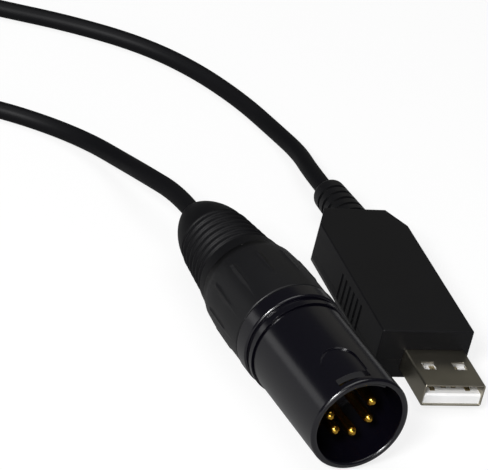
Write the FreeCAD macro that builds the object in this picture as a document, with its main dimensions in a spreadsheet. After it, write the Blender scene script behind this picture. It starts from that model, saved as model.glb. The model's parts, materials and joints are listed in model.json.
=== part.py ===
"""USB to five-pole XLR lighting interface: a USB-A plug in a moulded housing that
holds the converter board, a thin round cable, and a five-pole cable connector.

Millimetres. +Z is up, the plugs point towards -Y, and the part lies on z = 0.
The origin is on that surface, under the middle of the two plugs.
"""
import FreeCAD
import Part
import math
import os
import re

import Sketcher
from FreeCAD import Placement, Rotation, Vector

doc = FreeCAD.newDocument("usb_dmx_interface")

# Driving sizes

SIZES = {
    "USB plug": [
        ("plug_width", 12.0, "outside of the sheet metal shell"),
        ("plug_height", 4.5, "outside of the sheet metal shell"),
        ("plug_sheet", 0.3, "sheet thickness"),
        ("plug_fold", 0.45, "outside of the folded corners"),
        ("plug_reach", 11.4, "shell in front of the housing"),
        ("plug_buried", 7.5, "shell behind the housing's front face"),
        ("plug_rim_round", 0.1, "front rim's edges"),
        ("latch_hole_wide", 2.5, "hole that holds the plug in its socket"),
        ("latch_hole_long", 2.3, "the same, along the plug"),
        ("latch_hole_setback", 5.15, "hole's front edge behind the tip"),
        ("latch_hole_offset", 3.05, "hole's middle from the plug's middle"),
        ("tongue_thick", 1.95, "white carrier under the contacts"),
        ("tongue_setback", 0.35, "carrier's front end behind the tip"),
        ("tongue_play", 0.05, "between carrier and shell"),
        ("tongue_free", 9.2, "cavity over the carrier"),
        ("tongue_lead_in", 0.35, "bevel on the carrier's front edge"),
        ("contact_wide", 1.0, "contact strip"),
        ("contact_thick", 0.25, "contact strip"),
        ("contact_sunk", 0.15, "contact strip's depth in the carrier"),
        ("contact_play", 0.03, "beside the strip in its groove"),
        ("contact_groove_lead", 0.25, "groove in front of the strip"),
        ("contact_bevel", 0.12, "strip's front edge"),
        ("outer_contact", 3.5, "power contacts from the middle"),
        ("inner_contact", 1.0, "data contacts from the middle"),
        ("outer_setback", 1.7, "power contacts make first"),
        ("inner_setback", 2.7, "data contacts make later"),
        ("contact_tail", 2.6, "strip on the board's pads"),
    ],
    "USB housing": [
        ("case_width", 18.2, "outside"),
        ("case_length", 42.3, "outside"),
        ("case_height", 10.3, "outside"),
        ("case_wall", 1.1, "moulded wall"),
        ("case_block", 7.0, "solid front part that holds the plug"),
        ("plug_side_offset", 2.15, "plug off the housing's middle, to +X"),
        ("plug_axis_height", 3.95, "plug's middle above the housing's underside"),
        ("corner_cut_wide", 2.75, "rear corner cut, across"),
        ("corner_cut_long", 5.7, "rear corner cut, along"),
        ("corner_side_share", 0.229, "of an inset, that the cut's side corner moves"),
        ("corner_rear_share", 0.628, "of an inset, that the cut's rear corner moves"),
        ("bevel_tall", 2.7, "bevel on the lower edges, up the side"),
        ("bevel_wide", 1.6, "bevel on the lower edges, across"),
        ("case_edge", 0.3, "rounding of the upper edges"),
        ("plug_slot_play", 0.05, "between plug shell and housing"),
        ("lip_tall", 0.5, "lip of the lower half inside the upper"),
        ("lip_thick", 0.35, "the same"),
        ("lip_play", 0.05, "round the lip"),
        ("grip_first", 10.6, "first grip groove behind the front face"),
        ("grip_pitch", 2.1, "between grip grooves"),
        ("grip_count", 6, "grip grooves on a side"),
        ("grip_wide", 0.9, "groove along the side"),
        ("grip_deep", 0.25, "groove into the wall"),
        ("grip_low", 3.0, "groove's lower end above the underside"),
        ("grip_high", 8.4, "groove's upper end above the underside"),
        ("ledge_wide", 1.6, "step under the board's sides"),
        ("floor_thick", 0.9, "lower half's floor"),
    ],
    "Converter board": [
        ("board_width", 14.4, "laminate"),
        ("board_length", 28.8, "laminate"),
        ("board_thick", 1.0, "laminate"),
        ("board_gap", 0.2, "behind the plug's carrier"),
        ("chip_long", 10.2, "converter chip"),
        ("chip_wide", 5.3, "converter chip"),
        ("chip_tall", 1.7, "converter chip"),
        ("chip_lift", 0.1, "under the chip's body"),
        ("chip_bevel", 0.3, "chip's upper edges"),
        ("chip_back", 7.4, "chip's front end behind the board's front edge"),
        ("chip_lead_wide", 0.3, "converter chip's lead"),
        ("chip_lead_pitch", 0.65, "converter chip's leads"),
        ("chip_lead_count", 14, "leads on a side"),
        ("driver_long", 4.9, "line driver chip"),
        ("driver_wide", 3.9, "line driver chip"),
        ("driver_back", 20.4, "driver's front end behind the board's front edge"),
        ("driver_lead_wide", 0.45, "line driver's lead"),
        ("driver_lead_pitch", 1.27, "line driver's leads"),
        ("driver_lead_count", 4, "leads on a side"),
        ("lead_reach", 1.1, "lead beside the chip"),
        ("lead_thick", 0.2, "lead's sheet"),
        ("lead_tall", 0.85, "lead's upper face above the board"),
        ("lead_foot", 0.6, "lead's foot"),
        ("crystal_long", 5.0, "clock crystal's can"),
        ("crystal_wide", 3.2, "clock crystal's can"),
        ("crystal_tall", 1.1, "clock crystal's can"),
        ("crystal_round", 0.5, "can's corners"),
        ("crystal_back", 20.9, "can's front end behind the board's front edge"),
        ("crystal_aside", 4.9, "can's middle to -X of the board's middle"),
        ("bulk_radius", 2.0, "round capacitor"),
        ("bulk_tall", 4.4, "round capacitor"),
        ("bulk_bead", 0.35, "round capacitor's rolled edge"),
        ("bulk_back", 4.3, "its middle behind the board's front edge"),
        ("bulk_aside", 4.6, "its middle to -X of the board's middle"),
        ("small_long", 2.0, "small resistor or capacitor"),
        ("small_wide", 1.25, "small resistor or capacitor"),
        ("small_tall", 0.6, "small resistor or capacitor"),
        ("small_pitch", 2.5, "between small parts"),
        ("small_count", 5, "small parts in the row"),
        ("small_back", 15.8, "row's first part behind the board's front edge"),
        ("small_aside", 5.9, "row's middle to +X of the board's middle"),
    ],
    "USB strain relief": [
        ("relief_length", 15.2, "outside the housing"),
        ("relief_base_wide", 3.95, "half the oval's width at the housing"),
        ("relief_base_tall", 3.5, "half the oval's height at the housing"),
        ("relief_tip_radius", 3.3, "where the rounded end starts"),
        ("relief_tip_flat", 2.3, "rounded end's flat"),
        ("relief_tip_long", 1.5, "rounded end"),
        ("relief_tip_curve", 1.6, "rounded end's curve"),
        ("relief_side_offset", 1.79, "base off the housing's middle, to +X"),
        ("relief_yaw", 4.1, "degrees, relief bent to -X"),
        ("relief_droop", 2.6, "degrees, relief bent down"),
        ("relief_rise", 0.35, "base above the housing's middle"),
        ("relief_root", 0.6, "relief's base inside the wall"),
        ("neck_radius", 2.9, "through the rear wall"),
        ("flange_radius", 3.6, "inside the rear wall"),
        ("flange_thick", 1.2, "inside the rear wall"),
        ("neck_play", 0.1, "between the neck and the wall"),
        ("relief_grooves", 5, "grooves round it"),
        ("relief_groove_first", 1.9, "first groove behind the housing"),
        ("relief_groove_pitch", 2.3, "between grooves"),
        ("relief_groove_wide", 0.8, "groove along the relief"),
        ("relief_groove_deep", 0.38, "groove into the relief"),
    ],
    "Cable": [
        ("cable_radius", 1.75, "outside the jacket"),
        ("wire_pitch", 2.0, "between wires on the board"),
        ("wire_bare", 0.8, "wire straight out of the jacket"),
        ("wire_pad", 1.6, "wire on the board"),
        ("wire_radius", 0.4, "one insulated wire"),
        ("wire_spread", 0.62, "wires from the cable's middle"),
        ("route_unit", 1.0, "unit of the places that the cable passes"),
        ("run_share", 0.45, "of the shorter run that a bend may take"),
        ("coil_step", 4.0, "between turns lying beside or on each other"),
        ("coil_outer", 25.5, "radius of the outermost turn of a layer"),
        ("coil_layer_turns", 3.0, "turns of a full layer"),
        ("coil_last_share", 1.05, "of a step that the last turn lies outside"),
        ("coil_entry", 85.0, "degrees, where the cable enters the coil"),
        ("coil_x", -75.56, "coil's middle"),
        ("coil_y", 108.83, "coil's middle"),
        ("coil_lead_usb", 12.5, "straight run before the coil"),
        ("coil_lead_xlr", 10.0, "straight run after the coil"),
    ],
    "Connector shell": [
        ("barrel_radius", 9.4, "outside"),
        ("cup_radius", 8.2, "inside, where the mating plug goes"),
        ("cup_depth", 14.3, "rim to the insert's face"),
        ("lip_radius", 7.6, "lip in front of the insert"),
        ("lip_long", 0.7, "lip in front of the insert"),
        ("rear_bore_radius", 8.35, "behind the lip"),
        ("rim_round", 0.55, "rim's outer edge"),
        ("rim_inner_round", 0.5, "rim's inner edge"),
        ("ridge_front", 23.6, "narrow ridge behind the rim"),
        ("ridge_long", 1.0, "narrow ridge"),
        ("ridge_radius", 9.75, "narrow ridge"),
        ("front_ditch_long", 0.45, "ditch in front of the ridge"),
        ("front_ditch_radius", 9.15, "ditch in front of the ridge"),
        ("rear_ditch_radius", 9.3, "ditch behind the ridge"),
        ("collar_front", 25.8, "collar behind the rim"),
        ("collar_radius", 9.95, "collar"),
        ("collar_round", 0.45, "collar's front edge"),
        ("shell_length", 29.4, "rim to the collar's rear face"),
        ("window_front", 1.3, "latch window behind the rim"),
        ("window_long", 2.0, "latch window along the barrel"),
        ("window_wide", 6.0, "latch window across"),
        ("window_floor", 6.9, "window's cut above the axis"),
        ("thumb_wide", 6.6, "recess behind the window, across"),
        ("thumb_long", 7.4, "recess behind the window, along"),
        ("thumb_deep", 0.3, "recess into the barrel"),
        ("thumb_cut", 1.0, "recess before its round floor is put back"),
        ("thumb_floor_span", 46.0, "degrees that the round floor spans"),
        ("land_deep", 0.45, "land inside the cup on the latch side"),
        ("land_span", 84.0, "degrees that the land spans"),
        ("land_front", 0.6, "land's front end behind the rim"),
    ],
    "Connector insert and pins": [
        ("insert_play", 0.1, "between insert and shell"),
        ("insert_thick", 6.0, "disc that holds the pins"),
        ("insert_face_radius", 7.45, "raised face inside the lip"),
        ("pin_radius", 0.95, "contact pin"),
        ("pin_hole_play", 0.03, "round a pin in the insert"),
        ("pin_circle", 4.2, "radius of the pins' circle"),
        ("pin_step", 52.0, "degrees between neighbouring pins"),
        ("pin_setback", 3.0, "pin's tip behind the rim"),
        ("pin_tip_long", 0.9, "rounded tip"),
        ("pin_tip_flat", 0.35, "tip's flat"),
        ("pin_tip_curve", 1.0, "rounded tip's curve"),
        ("pin_shoulder_radius", 1.25, "shoulder behind the insert"),
        ("pin_shoulder_long", 0.7, "shoulder behind the insert"),
        ("solder_cup_radius", 1.15, "outside"),
        ("solder_cup_bore", 0.75, "radius inside"),
        ("solder_cup_long", 3.8, "cup behind the shoulder"),
        ("spring_wide", 3.0, "earthing spring beside the insert"),
        ("spring_thick", 0.3, "earthing spring"),
        ("spring_low", 7.75, "spring's underside above the axis"),
        ("spring_slot_play", 0.05, "round the spring"),
    ],
    "Connector rear": [
        ("thread_play", 0.15, "between the nut's thread and the shell"),
        ("thread_long", 6.6, "nut's thread inside the shell"),
        ("nut_gap", 0.15, "between collar and nut"),
        ("nut_front_radius", 9.8, "at the collar"),
        ("nut_front_round", 0.3, "front edge"),
        ("nut_belly", 5.6, "length of the fullest part"),
        ("nut_waist", 11.5, "behind the nut's front"),
        ("nut_waist_radius", 9.6, "there"),
        ("nut_shoulder", 14.5, "behind the nut's front"),
        ("nut_shoulder_radius", 9.3, "there"),
        ("nut_band_front", 14.9, "behind the nut's front"),
        ("nut_band_radius", 8.8, "smooth band"),
        ("nut_length", 16.3, "outside the shell"),
        ("nut_rib_count", 12, "low grip ribs round the nut"),
        ("nut_rib_span", 2.2, "degrees that a rib spans"),
        ("nut_rib_tall", 0.12, "rib above the nut"),
        ("nut_rib_sunk", 0.15, "rib's ends below the nut's surface"),
        ("nut_rib_front", 4.3, "ribs start behind the nut's front"),
        ("nut_rib_rear", 13.8, "ribs end behind the nut's front"),
        ("nut_rib_turn", 2.6, "degrees from the latch to a rib"),
        ("nut_bore", 6.9, "radius inside"),
        ("nut_cone_front", 12.3, "closing cone behind the nut's front"),
        ("nut_mouth_radius", 5.5, "rear opening"),
        ("nut_mouth_long", 1.2, "rear opening"),
        ("neck_in_nut_play", 0.1, "sleeve's neck in the nut"),
        ("neck_in_nut_long", 1.0, "sleeve's neck in the nut"),
        ("sleeve_front_radius", 8.7, "at the nut"),
        ("sleeve_band_long", 2.75, "smooth band"),
        ("sleeve_band_radius", 8.3, "smooth band's rear end"),
        ("sleeve_rib_radius", 8.1, "first rib"),
        ("sleeve_rib_shrink", 0.19, "each rib smaller than the one before"),
        ("sleeve_rib_pitch", 1.75, "between grooves"),
        ("sleeve_rib_count", 6, "grooves round the sleeve"),
        ("sleeve_groove_wide", 0.9, "groove's mouth"),
        ("sleeve_rib_drop", 0.24, "rib's rounded back above its edges"),
        ("sleeve_rib_curve", 0.5, "rib's rounded back"),
        ("sleeve_groove_curve", 0.5, "groove's rounded floor"),
        ("dome_radius", 6.75, "where the rounded end starts"),
        ("dome_long", 9.0, "rounded end"),
        ("dome_curve", 17.0, "rounded end's curve"),
        ("dome_flat", 2.7, "rounded end's flat"),
        ("dome_tip_round", 0.4, "rounded end's last edge"),
        ("sleeve_play", 0.3, "round the cable"),
        ("chuck_gap", 3.45, "clamp behind the nut's front"),
        ("chuck_long", 8.6, "clamp's straight part"),
        ("chuck_taper_long", 2.2, "clamp's tapered end"),
        ("chuck_tip_radius", 5.6, "clamp's tapered end"),
        ("chuck_play", 0.25, "clamp in the nut"),
        ("chuck_grip_play", 0.12, "clamp round the cable"),
        ("chuck_slot_wide", 0.9, "between the clamp's fingers"),
        ("chuck_slot_long", 7.0, "between the clamp's fingers"),
        ("chuck_slots", 4, "slots"),
        ("jacket_past_chuck", 1.0, "jacket in front of the clamp"),
    ],
    "Layout": [
        ("usb_x", 17.44, "plug's middle"),
        ("usb_y", -24.87, "plug's tip"),
        ("units_apart", 25.98, "plug's middle to the connector's mouth, across"),
        ("connector_ahead", 18.01, "connector's mouth in front of the plug's tip"),
        ("xlr_yaw", 8.23, "degrees, connector's rear turned to -X"),
        ("latch_lean", 17.0, "degrees, latch turned from the top to -X"),
        ("overrun", 2.0, "cuts run past the faces that they open"),
    ],
}

sheet = doc.addObject("Spreadsheet::Sheet", "Sizes")


def fill_sheet():
    """Write each size with its alias; the cell holds a plain number."""
    row = 1
    for group, rows in SIZES.items():
        sheet.set("A%d" % row, group)
        row += 1
        for alias, value, note in rows:
            sheet.set("A%d" % row, alias)
            sheet.set("B%d" % row, str(value))
            sheet.set("C%d" % row, note)
            sheet.setAlias("B%d" % row, alias)
            row += 1
    doc.recompute()


def size(alias):
    """A size's value, read back from the sheet."""
    return float(sheet.get(alias))


def formula(text):
    """Turn a sum of size names into an expression on the sheet's cells."""
    return re.sub(r"[a-z]+_[a-z_]+|overrun", lambda m: "Sizes." + m.group(0), str(text))


def read_sum(words):
    """Work out the sum at the front of a list of words."""
    total = read_product(words)
    while words and words[0] in "+-":
        sign = words.pop(0)
        amount = read_product(words)
        total += amount if sign == "+" else -amount
    return total


def read_product(words):
    total = read_number(words)
    while words and words[0] in "*/":
        sign = words.pop(0)
        amount = read_number(words)
        total = total * amount if sign == "*" else total / amount
    return total


def read_number(words):
    word = words.pop(0)
    if word == "-":
        return -read_number(words)
    if word == "(":
        total = read_sum(words)
        words.pop(0)
        return total
    return size(word) if word[0].isalpha() else float(word)


def value(text):
    """Work out a sum of size names, as its expression on the sheet would."""
    return read_sum(re.findall(r"[a-z][a-z_]*|\d+\.?\d*|[-+*/()]", str(text)))


def bind(thing, prop, text):
    """Bind a property to a sum of size names."""
    thing.setExpression(prop, formula(text))


# Helpers for bodies and sketches


def origin_plane(body, role):
    return [f for f in body.Origin.OriginFeatures if f.Role == role][0]


def arc_middle(start, end, radius):
    """Middle of the arc from start to end; a negative radius bulges to the right."""
    chord = end - start
    half = chord.Length / 2
    reach = abs(radius)
    rise = reach - math.sqrt(max(reach * reach - half * half, 0.0))
    side = Vector(-chord.y, chord.x, 0) * (1 if radius > 0 else -1)
    return (start + end) * 0.5 + side.normalize() * rise


def outline(body, name, role, points, offset="0"):
    """A closed sketch: each point is two sums, and a third where an arc leaves it."""
    sketch = body.newObject("Sketcher::SketchObject", name)
    sketch.AttachmentSupport = (origin_plane(body, role), [""])
    sketch.MapMode = "FlatFace"
    if offset != "0":
        bind(sketch, ".AttachmentOffset.Base.z", offset)
    places = [Vector(value(p[0]), value(p[1]), 0) for p in points]
    count = len(points)
    for i, point in enumerate(points):
        start = places[i]
        end = places[(i + 1) % count]
        if len(point) > 2:
            middle = arc_middle(start, end, value(point[2]))
            first, last = (end, start) if value(point[2]) > 0 else (start, end)
            sketch.addGeometry(Part.Arc(first, middle, last), False)
        else:
            sketch.addGeometry(Part.LineSegment(start, end), False)
    ends = []
    for i, point in enumerate(points):
        if len(point) > 2:
            first = sketch.Geometry[i].StartPoint
            ends.append((1, 2) if (first - places[i]).Length < 1e-6 else (2, 1))
        else:
            ends.append((1, 2))
    for i in range(count):
        after = (i + 1) % count
        link = Sketcher.Constraint("Coincident", i, ends[i][1], after, ends[after][0])
        sketch.addConstraint(link)
    for i, point in enumerate(points):
        for axis, kind, line in ((0, "DistanceX", -2), (1, "DistanceY", -1)):
            if point[axis] == "0":
                sketch.addConstraint(Sketcher.Constraint("PointOnObject", i, ends[i][0], line))
                continue
            number = value(point[axis])
            row = sketch.addConstraint(Sketcher.Constraint(kind, -1, 1, i, ends[i][0], number))
            bind(sketch, "Constraints[%d]" % row, point[axis])
        if len(point) > 2:
            bulge = abs(value(point[2]))
            row = sketch.addConstraint(Sketcher.Constraint("Radius", i, bulge))
            bind(sketch, "Constraints[%d]" % row, "abs(%s)" % point[2])
    sketch.Visibility = False
    return sketch


def box_points(x_low, x_high, y_low, y_high):
    return [(x_low, y_low), (x_high, y_low), (x_high, y_high), (x_low, y_high)]


def new_body(label):
    body = doc.addObject("PartDesign::Body", label)
    body.Label = label
    return body


def turned(label, points):
    """A body turned about its Y axis from a profile of (radius, place along the axis)."""
    body = new_body(label)
    sketch = outline(body, label + "_profile", "XY_Plane", points)
    spin = body.newObject("PartDesign::Revolution", label + "_turn")
    spin.Profile = sketch
    spin.ReferenceAxis = (sketch, ["V_Axis"])
    spin.Angle = 360
    doc.recompute()
    return body


def part_turned(body, name, sketch, span):
    """Add the outline to the body, turned about Y over a span that the YZ plane halves."""
    before = body.Shape.Volume
    spin = body.newObject("PartDesign::Revolution", name)
    spin.Profile = sketch
    spin.ReferenceAxis = (sketch, ["H_Axis"])
    bind(spin, "Angle", span)
    spin.Midplane = True
    doc.recompute()
    if body.Shape.Volume < before + 1e-6:
        raise RuntimeError(name + " adds nothing")
    return spin


def padded(body, name, role, points, length, offset="0", backwards=False):
    sketch = outline(body, name + "_outline", role, points, offset)
    pad = body.newObject("PartDesign::Pad", name)
    pad.Profile = sketch
    bind(pad, "Length", length)
    pad.Reversed = backwards
    doc.recompute()
    return pad


def pocketed(body, name, role, points, length, offset="0", backwards=False, both=False):
    """Cut the outline out of the body, and check that something was cut."""
    before = body.Shape.Volume
    sketch = outline(body, name + "_outline", role, points, offset)
    cut = body.newObject("PartDesign::Pocket", name)
    cut.Profile = sketch
    bind(cut, "Length", length)
    cut.Reversed = backwards
    cut.Midplane = both
    doc.recompute()
    if body.Shape.Volume > before - 1e-6:
        raise RuntimeError(name + " cuts nothing")
    return cut


def round_about_y(body, feature, count, name, angle="360"):
    """Repeat a feature round the body's Y axis."""
    pattern = body.newObject("PartDesign::PolarPattern", name)
    pattern.Originals = [feature]
    pattern.Axis = ([f for f in body.Origin.OriginFeatures if f.Role == "Y_Axis"][0], [""])
    bind(pattern, "Occurrences", count)
    if angle == "360":
        pattern.Angle = 360
    else:
        bind(pattern, "Angle", angle)
    body.Tip = pattern
    doc.recompute()
    return pattern


def ring_edges(shape, rings):
    """Names of the whole circles about the Y axis with these radii and places."""
    names = []
    for radius, place in rings:
        for i, edge in enumerate(shape.Edges):
            curve = edge.Curve
            if not isinstance(curve, Part.Circle):
                continue
            same_radius = abs(curve.Radius - value(radius)) < 1e-4
            on_axis = math.hypot(curve.Center.x, curve.Center.z) < 1e-4
            if same_radius and on_axis and abs(curve.Center.y - value(place)) < 1e-4:
                names.append("Edge%d" % (i + 1))
    return names


def rounded(body, name, rings, radius):
    """Round circular edges of a turned body."""
    base = body.Tip
    names = ring_edges(base.Shape, rings)
    if not names:
        raise RuntimeError(name + " finds no edge")
    fillet = body.newObject("PartDesign::Fillet", name)
    fillet.Base = (base, names)
    bind(fillet, "Radius", radius)
    doc.recompute()
    return fillet


def solid_box(name, x_low, x_high, y_low, y_high, z_low, z_high):
    """A box between six places, each a sum of sizes."""
    box = doc.addObject("Part::Box", name)
    bind(box, "Length", "%s - (%s)" % (x_high, x_low))
    bind(box, "Width", "%s - (%s)" % (y_high, y_low))
    bind(box, "Height", "%s - (%s)" % (z_high, z_low))
    bind(box, "Placement.Base.x", x_low)
    bind(box, "Placement.Base.y", y_low)
    bind(box, "Placement.Base.z", z_low)
    return box


def joined(label, pieces):
    fuse = doc.addObject("Part::MultiFuse", label)
    fuse.Label = label
    fuse.Shapes = pieces
    return fuse


def grouped(label, pieces):
    """Separate solids that share one node."""
    group = doc.addObject("Part::Compound", label)
    group.Label = label
    group.Links = pieces
    return group


def cut_from(label, base, tool):
    cut = doc.addObject("Part::Cut", label)
    cut.Label = label
    cut.Base = base
    cut.Tool = tool
    return cut


def face_names(shape, axis, place):
    """Names of the flat faces that lie across an axis at a place."""
    names = []
    for i, face in enumerate(shape.Faces):
        box = face.BoundBox
        low = getattr(box, axis + "Min")
        high = getattr(box, axis + "Max")
        if abs(low - place) < 1e-4 and abs(high - place) < 1e-4:
            names.append("Face%d" % (i + 1))
    return names


def edge_names(shape, chosen):
    """Names of the edges whose box satisfies a test."""
    return ["Edge%d" % (i + 1) for i, edge in enumerate(shape.Edges) if chosen(edge.BoundBox)]


def eased(body, name, picked, radius):
    """Round named edges or faces of the body's last feature."""
    if not picked:
        raise RuntimeError(name + " finds nothing to round")
    last = body.Tip
    fillet = body.newObject("PartDesign::Fillet", name)
    fillet.Base = (last, picked)
    bind(fillet, "Radius", radius)
    body.Tip = fillet
    doc.recompute()
    return fillet


def mirrored(body, name, feature, role="YZ_Plane"):
    mirror = body.newObject("PartDesign::Mirrored", name)
    mirror.Originals = [feature]
    mirror.MirrorPlane = (origin_plane(body, role), [""])
    body.Tip = mirror
    doc.recompute()
    return mirror


def in_row(body, name, feature, role, length, count):
    """Repeat a feature along an axis of its body."""
    row = body.newObject("PartDesign::LinearPattern", name)
    row.Originals = [feature]
    row.Direction = (origin_plane(body, role), [""])
    bind(row, "Length", length)
    bind(row, "Occurrences", count)
    body.Tip = row
    doc.recompute()
    return row


def run_of(body, name, points, start, end):
    """Extrude a front view along Y from start to end."""
    long = "(%s) - (%s)" % (end, start)
    return padded(body, name, "XZ_Plane", points, long, "-(%s)" % start, True)


def cut_along(body, name, points, start, end):
    """Cut a front view along Y from start to end."""
    long = "(%s) - (%s)" % (end, start)
    return pocketed(body, name, "XZ_Plane", points, long, "-(%s)" % start)


def rounded_box(half_wide, half_tall, radius, in_x="0", in_y="0"):
    """A rectangle about a point, with rounded corners."""
    arc = "-(%s)" % radius
    right = "%s + (%s)" % (in_x, half_wide)
    left = "%s - (%s)" % (in_x, half_wide)
    high = "%s + (%s)" % (in_y, half_tall)
    low = "%s - (%s)" % (in_y, half_tall)
    return [
        ("%s + (%s)" % (left, radius), low),
        ("%s - (%s)" % (right, radius), low, arc),
        (right, "%s + (%s)" % (low, radius)),
        (right, "%s - (%s)" % (high, radius), arc),
        ("%s - (%s)" % (right, radius), high),
        ("%s + (%s)" % (left, radius), high, arc),
        (left, "%s - (%s)" % (high, radius)),
        (left, "%s + (%s)" % (low, radius), arc),
    ]


def disc_cut(body, name, in_x, in_z, radius, start, end):
    """Cut a round hole along Y from start to end."""
    before = body.Shape.Volume
    sketch = body.newObject("Sketcher::SketchObject", name + "_outline")
    sketch.AttachmentSupport = (origin_plane(body, "XZ_Plane"), [""])
    sketch.MapMode = "FlatFace"
    bind(sketch, ".AttachmentOffset.Base.z", "-(%s)" % start)
    middle = Vector(value(in_x), value(in_z), 0)
    sketch.addGeometry(Part.Circle(middle, Vector(0, 0, 1), value(radius)), False)
    for kind, text in (("DistanceX", in_x), ("DistanceY", in_z)):
        row = sketch.addConstraint(Sketcher.Constraint(kind, -1, 1, 0, 3, value(text)))
        bind(sketch, "Constraints[%d]" % row, text)
    row = sketch.addConstraint(Sketcher.Constraint("Radius", 0, value(radius)))
    bind(sketch, "Constraints[%d]" % row, radius)
    sketch.Visibility = False
    cut = body.newObject("PartDesign::Pocket", name)
    cut.Profile = sketch
    bind(cut, "Length", "(%s) - (%s)" % (end, start))
    doc.recompute()
    if body.Shape.Volume > before - 1e-6:
        raise RuntimeError(name + " cuts nothing")
    return cut


def place_usb(thing):
    """Move a piece from the plug's own frame, whose origin is the tip's middle."""
    bind(thing, "Placement.Base.x", "usb_x")
    bind(thing, "Placement.Base.y", "usb_y")
    bind(thing, "Placement.Base.z", "plug_axis_height")
    return thing


def place_case(thing):
    """Move a piece from the housing's frame: front face, middle of the underside."""
    bind(thing, "Placement.Base.x", "usb_x - plug_side_offset")
    bind(thing, "Placement.Base.y", "usb_y + plug_reach")
    return thing


def place_board(thing, aside="0", back="0"):
    """Move a piece from the board's frame: middle of its front edge, on its top."""
    bind(thing, "Placement.Base.x", "usb_x - plug_side_offset + (%s)" % aside)
    bind(thing, "Placement.Base.y", "usb_y + %s + (%s)" % (BOARD_FRONT, back))
    bind(thing, "Placement.Base.z", "plug_axis_height + " + BOARD_TOP)
    return thing


def xlr_frame(turn=0.0):
    """The connector's frame: mouth's middle, latch up, Y along the axis."""
    spin = Rotation(Vector(0, 1, 0), turn - size("latch_lean"))
    yaw = Rotation(Vector(0, 0, 1), size("xlr_yaw"))
    mouth = Vector(value(XLR_X), value(XLR_Y), size("collar_radius"))
    return Placement(mouth, yaw.multiply(spin))


def place_xlr(thing, turn=0.0):
    thing.Placement = xlr_frame(turn)
    bind(thing, "Placement.Base.x", XLR_X)
    bind(thing, "Placement.Base.y", XLR_Y)
    bind(thing, "Placement.Base.z", "collar_radius")
    return thing


def drawn(label, shape):
    """A piece whose shape is computed along a path."""
    thing = doc.addObject("Part::Feature", label)
    thing.Label = label
    thing.Shape = shape
    return thing


def bend_arc(before, corner, after, radius):
    """Start, middle and end of the arc that rounds a corner."""
    back = (before - corner).normalize()
    ahead = (after - corner).normalize()
    half = (math.pi - back.getAngle(ahead)) / 2
    reach = radius * math.tan(half)
    middle = (back + ahead).normalize()
    to_arc = radius / math.cos(half) - radius
    return corner + back * reach, corner + middle * to_arc, corner + ahead * reach


def route_wire(points):
    """Straight runs joined by arcs as large as the shorter run allows."""
    edges = []
    radii = []
    at = points[0]
    for i in range(1, len(points) - 1):
        before, corner, after = points[i - 1], points[i], points[i + 1]
        turn = math.pi - (before - corner).getAngle(after - corner)
        shorter = min((corner - before).Length, (after - corner).Length)
        radius = size("run_share") * shorter / math.tan(turn / 2)
        start, middle, end = bend_arc(before, corner, after, radius)
        edges.append(Part.LineSegment(at, start).toShape())
        edges.append(Part.Arc(start, middle, end).toShape())
        radii.append(radius)
        at = end
    edges.append(Part.LineSegment(at, points[-1]).toShape())
    return Part.Wire(edges), radii


def tube_along(wire, start, heading, radius):
    """A round tube along a wire."""
    ring = Part.Wire([Part.Circle(start, heading, radius).toShape()])
    shell = wire.makePipeShell([ring], True, False)
    solid = Part.Solid(shell) if shell.ShapeType == "Shell" else shell
    if solid.Volume < 0:
        solid.reverse()
    return solid


def tube(points, radius, name=""):
    wire, radii = route_wire(points)
    solid = tube_along(wire, points[0], points[1] - points[0], radius)
    if name:
        share = solid.Volume / (math.pi * radius * radius * wire.Length)
        print(name, "length %.1f" % wire.Length, "volume/section*length %.4f" % share)
        print("  bend radii", " ".join("%.1f" % r for r in radii))
    return solid


fill_sheet()

# Places that several pieces share

XLR_X = "usb_x - units_apart"
XLR_Y = "usb_y - connector_ahead"
PLUG_END = "plug_reach + plug_buried"
CARRIER_TOP = "tongue_thick + plug_sheet + tongue_play - plug_height/2"
STRIP_LOW = CARRIER_TOP + " - contact_sunk"
STRIP_HIGH = STRIP_LOW + " + contact_thick"
BOARD_TOP = STRIP_LOW
BOARD_FRONT = PLUG_END + " + board_gap"
INSERT_SEAT = "cup_depth + lip_long"
INSERT_REAR = INSERT_SEAT + " + insert_thick"
NUT_FRONT = "shell_length + nut_gap"
SLEEVE_FRONT = NUT_FRONT + " + nut_length"
RIBS_END = SLEEVE_FRONT + " + sleeve_band_long + sleeve_rib_count*sleeve_rib_pitch"
DOME_FRONT = RIBS_END + " + sleeve_groove_wide"
SLEEVE_END = DOME_FRONT + " + dome_long"
CHUCK_FRONT = NUT_FRONT + " + chuck_gap"

# Plug, in its own frame

metal = new_body("usb_metal_shell")
run_of(metal, "plug_outside", rounded_box("plug_width/2", "plug_height/2", "plug_fold"),
       "0", PLUG_END)
cut_along(metal, "plug_inside",
          rounded_box("plug_width/2 - plug_sheet", "plug_height/2 - plug_sheet",
                      "plug_fold - plug_sheet"),
          "-overrun", PLUG_END + " + overrun")
hole = pocketed(metal, "latch_hole", "XY_Plane",
                box_points("latch_hole_offset - latch_hole_wide/2",
                           "latch_hole_offset + latch_hole_wide/2",
                           "latch_hole_setback", "latch_hole_setback + latch_hole_long"),
                "plug_height + overrun", both=True)
mirrored(metal, "latch_holes", hole)
eased(metal, "plug_rim", face_names(metal.Shape, "Y", 0.0), "plug_rim_round")
place_usb(metal)

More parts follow.
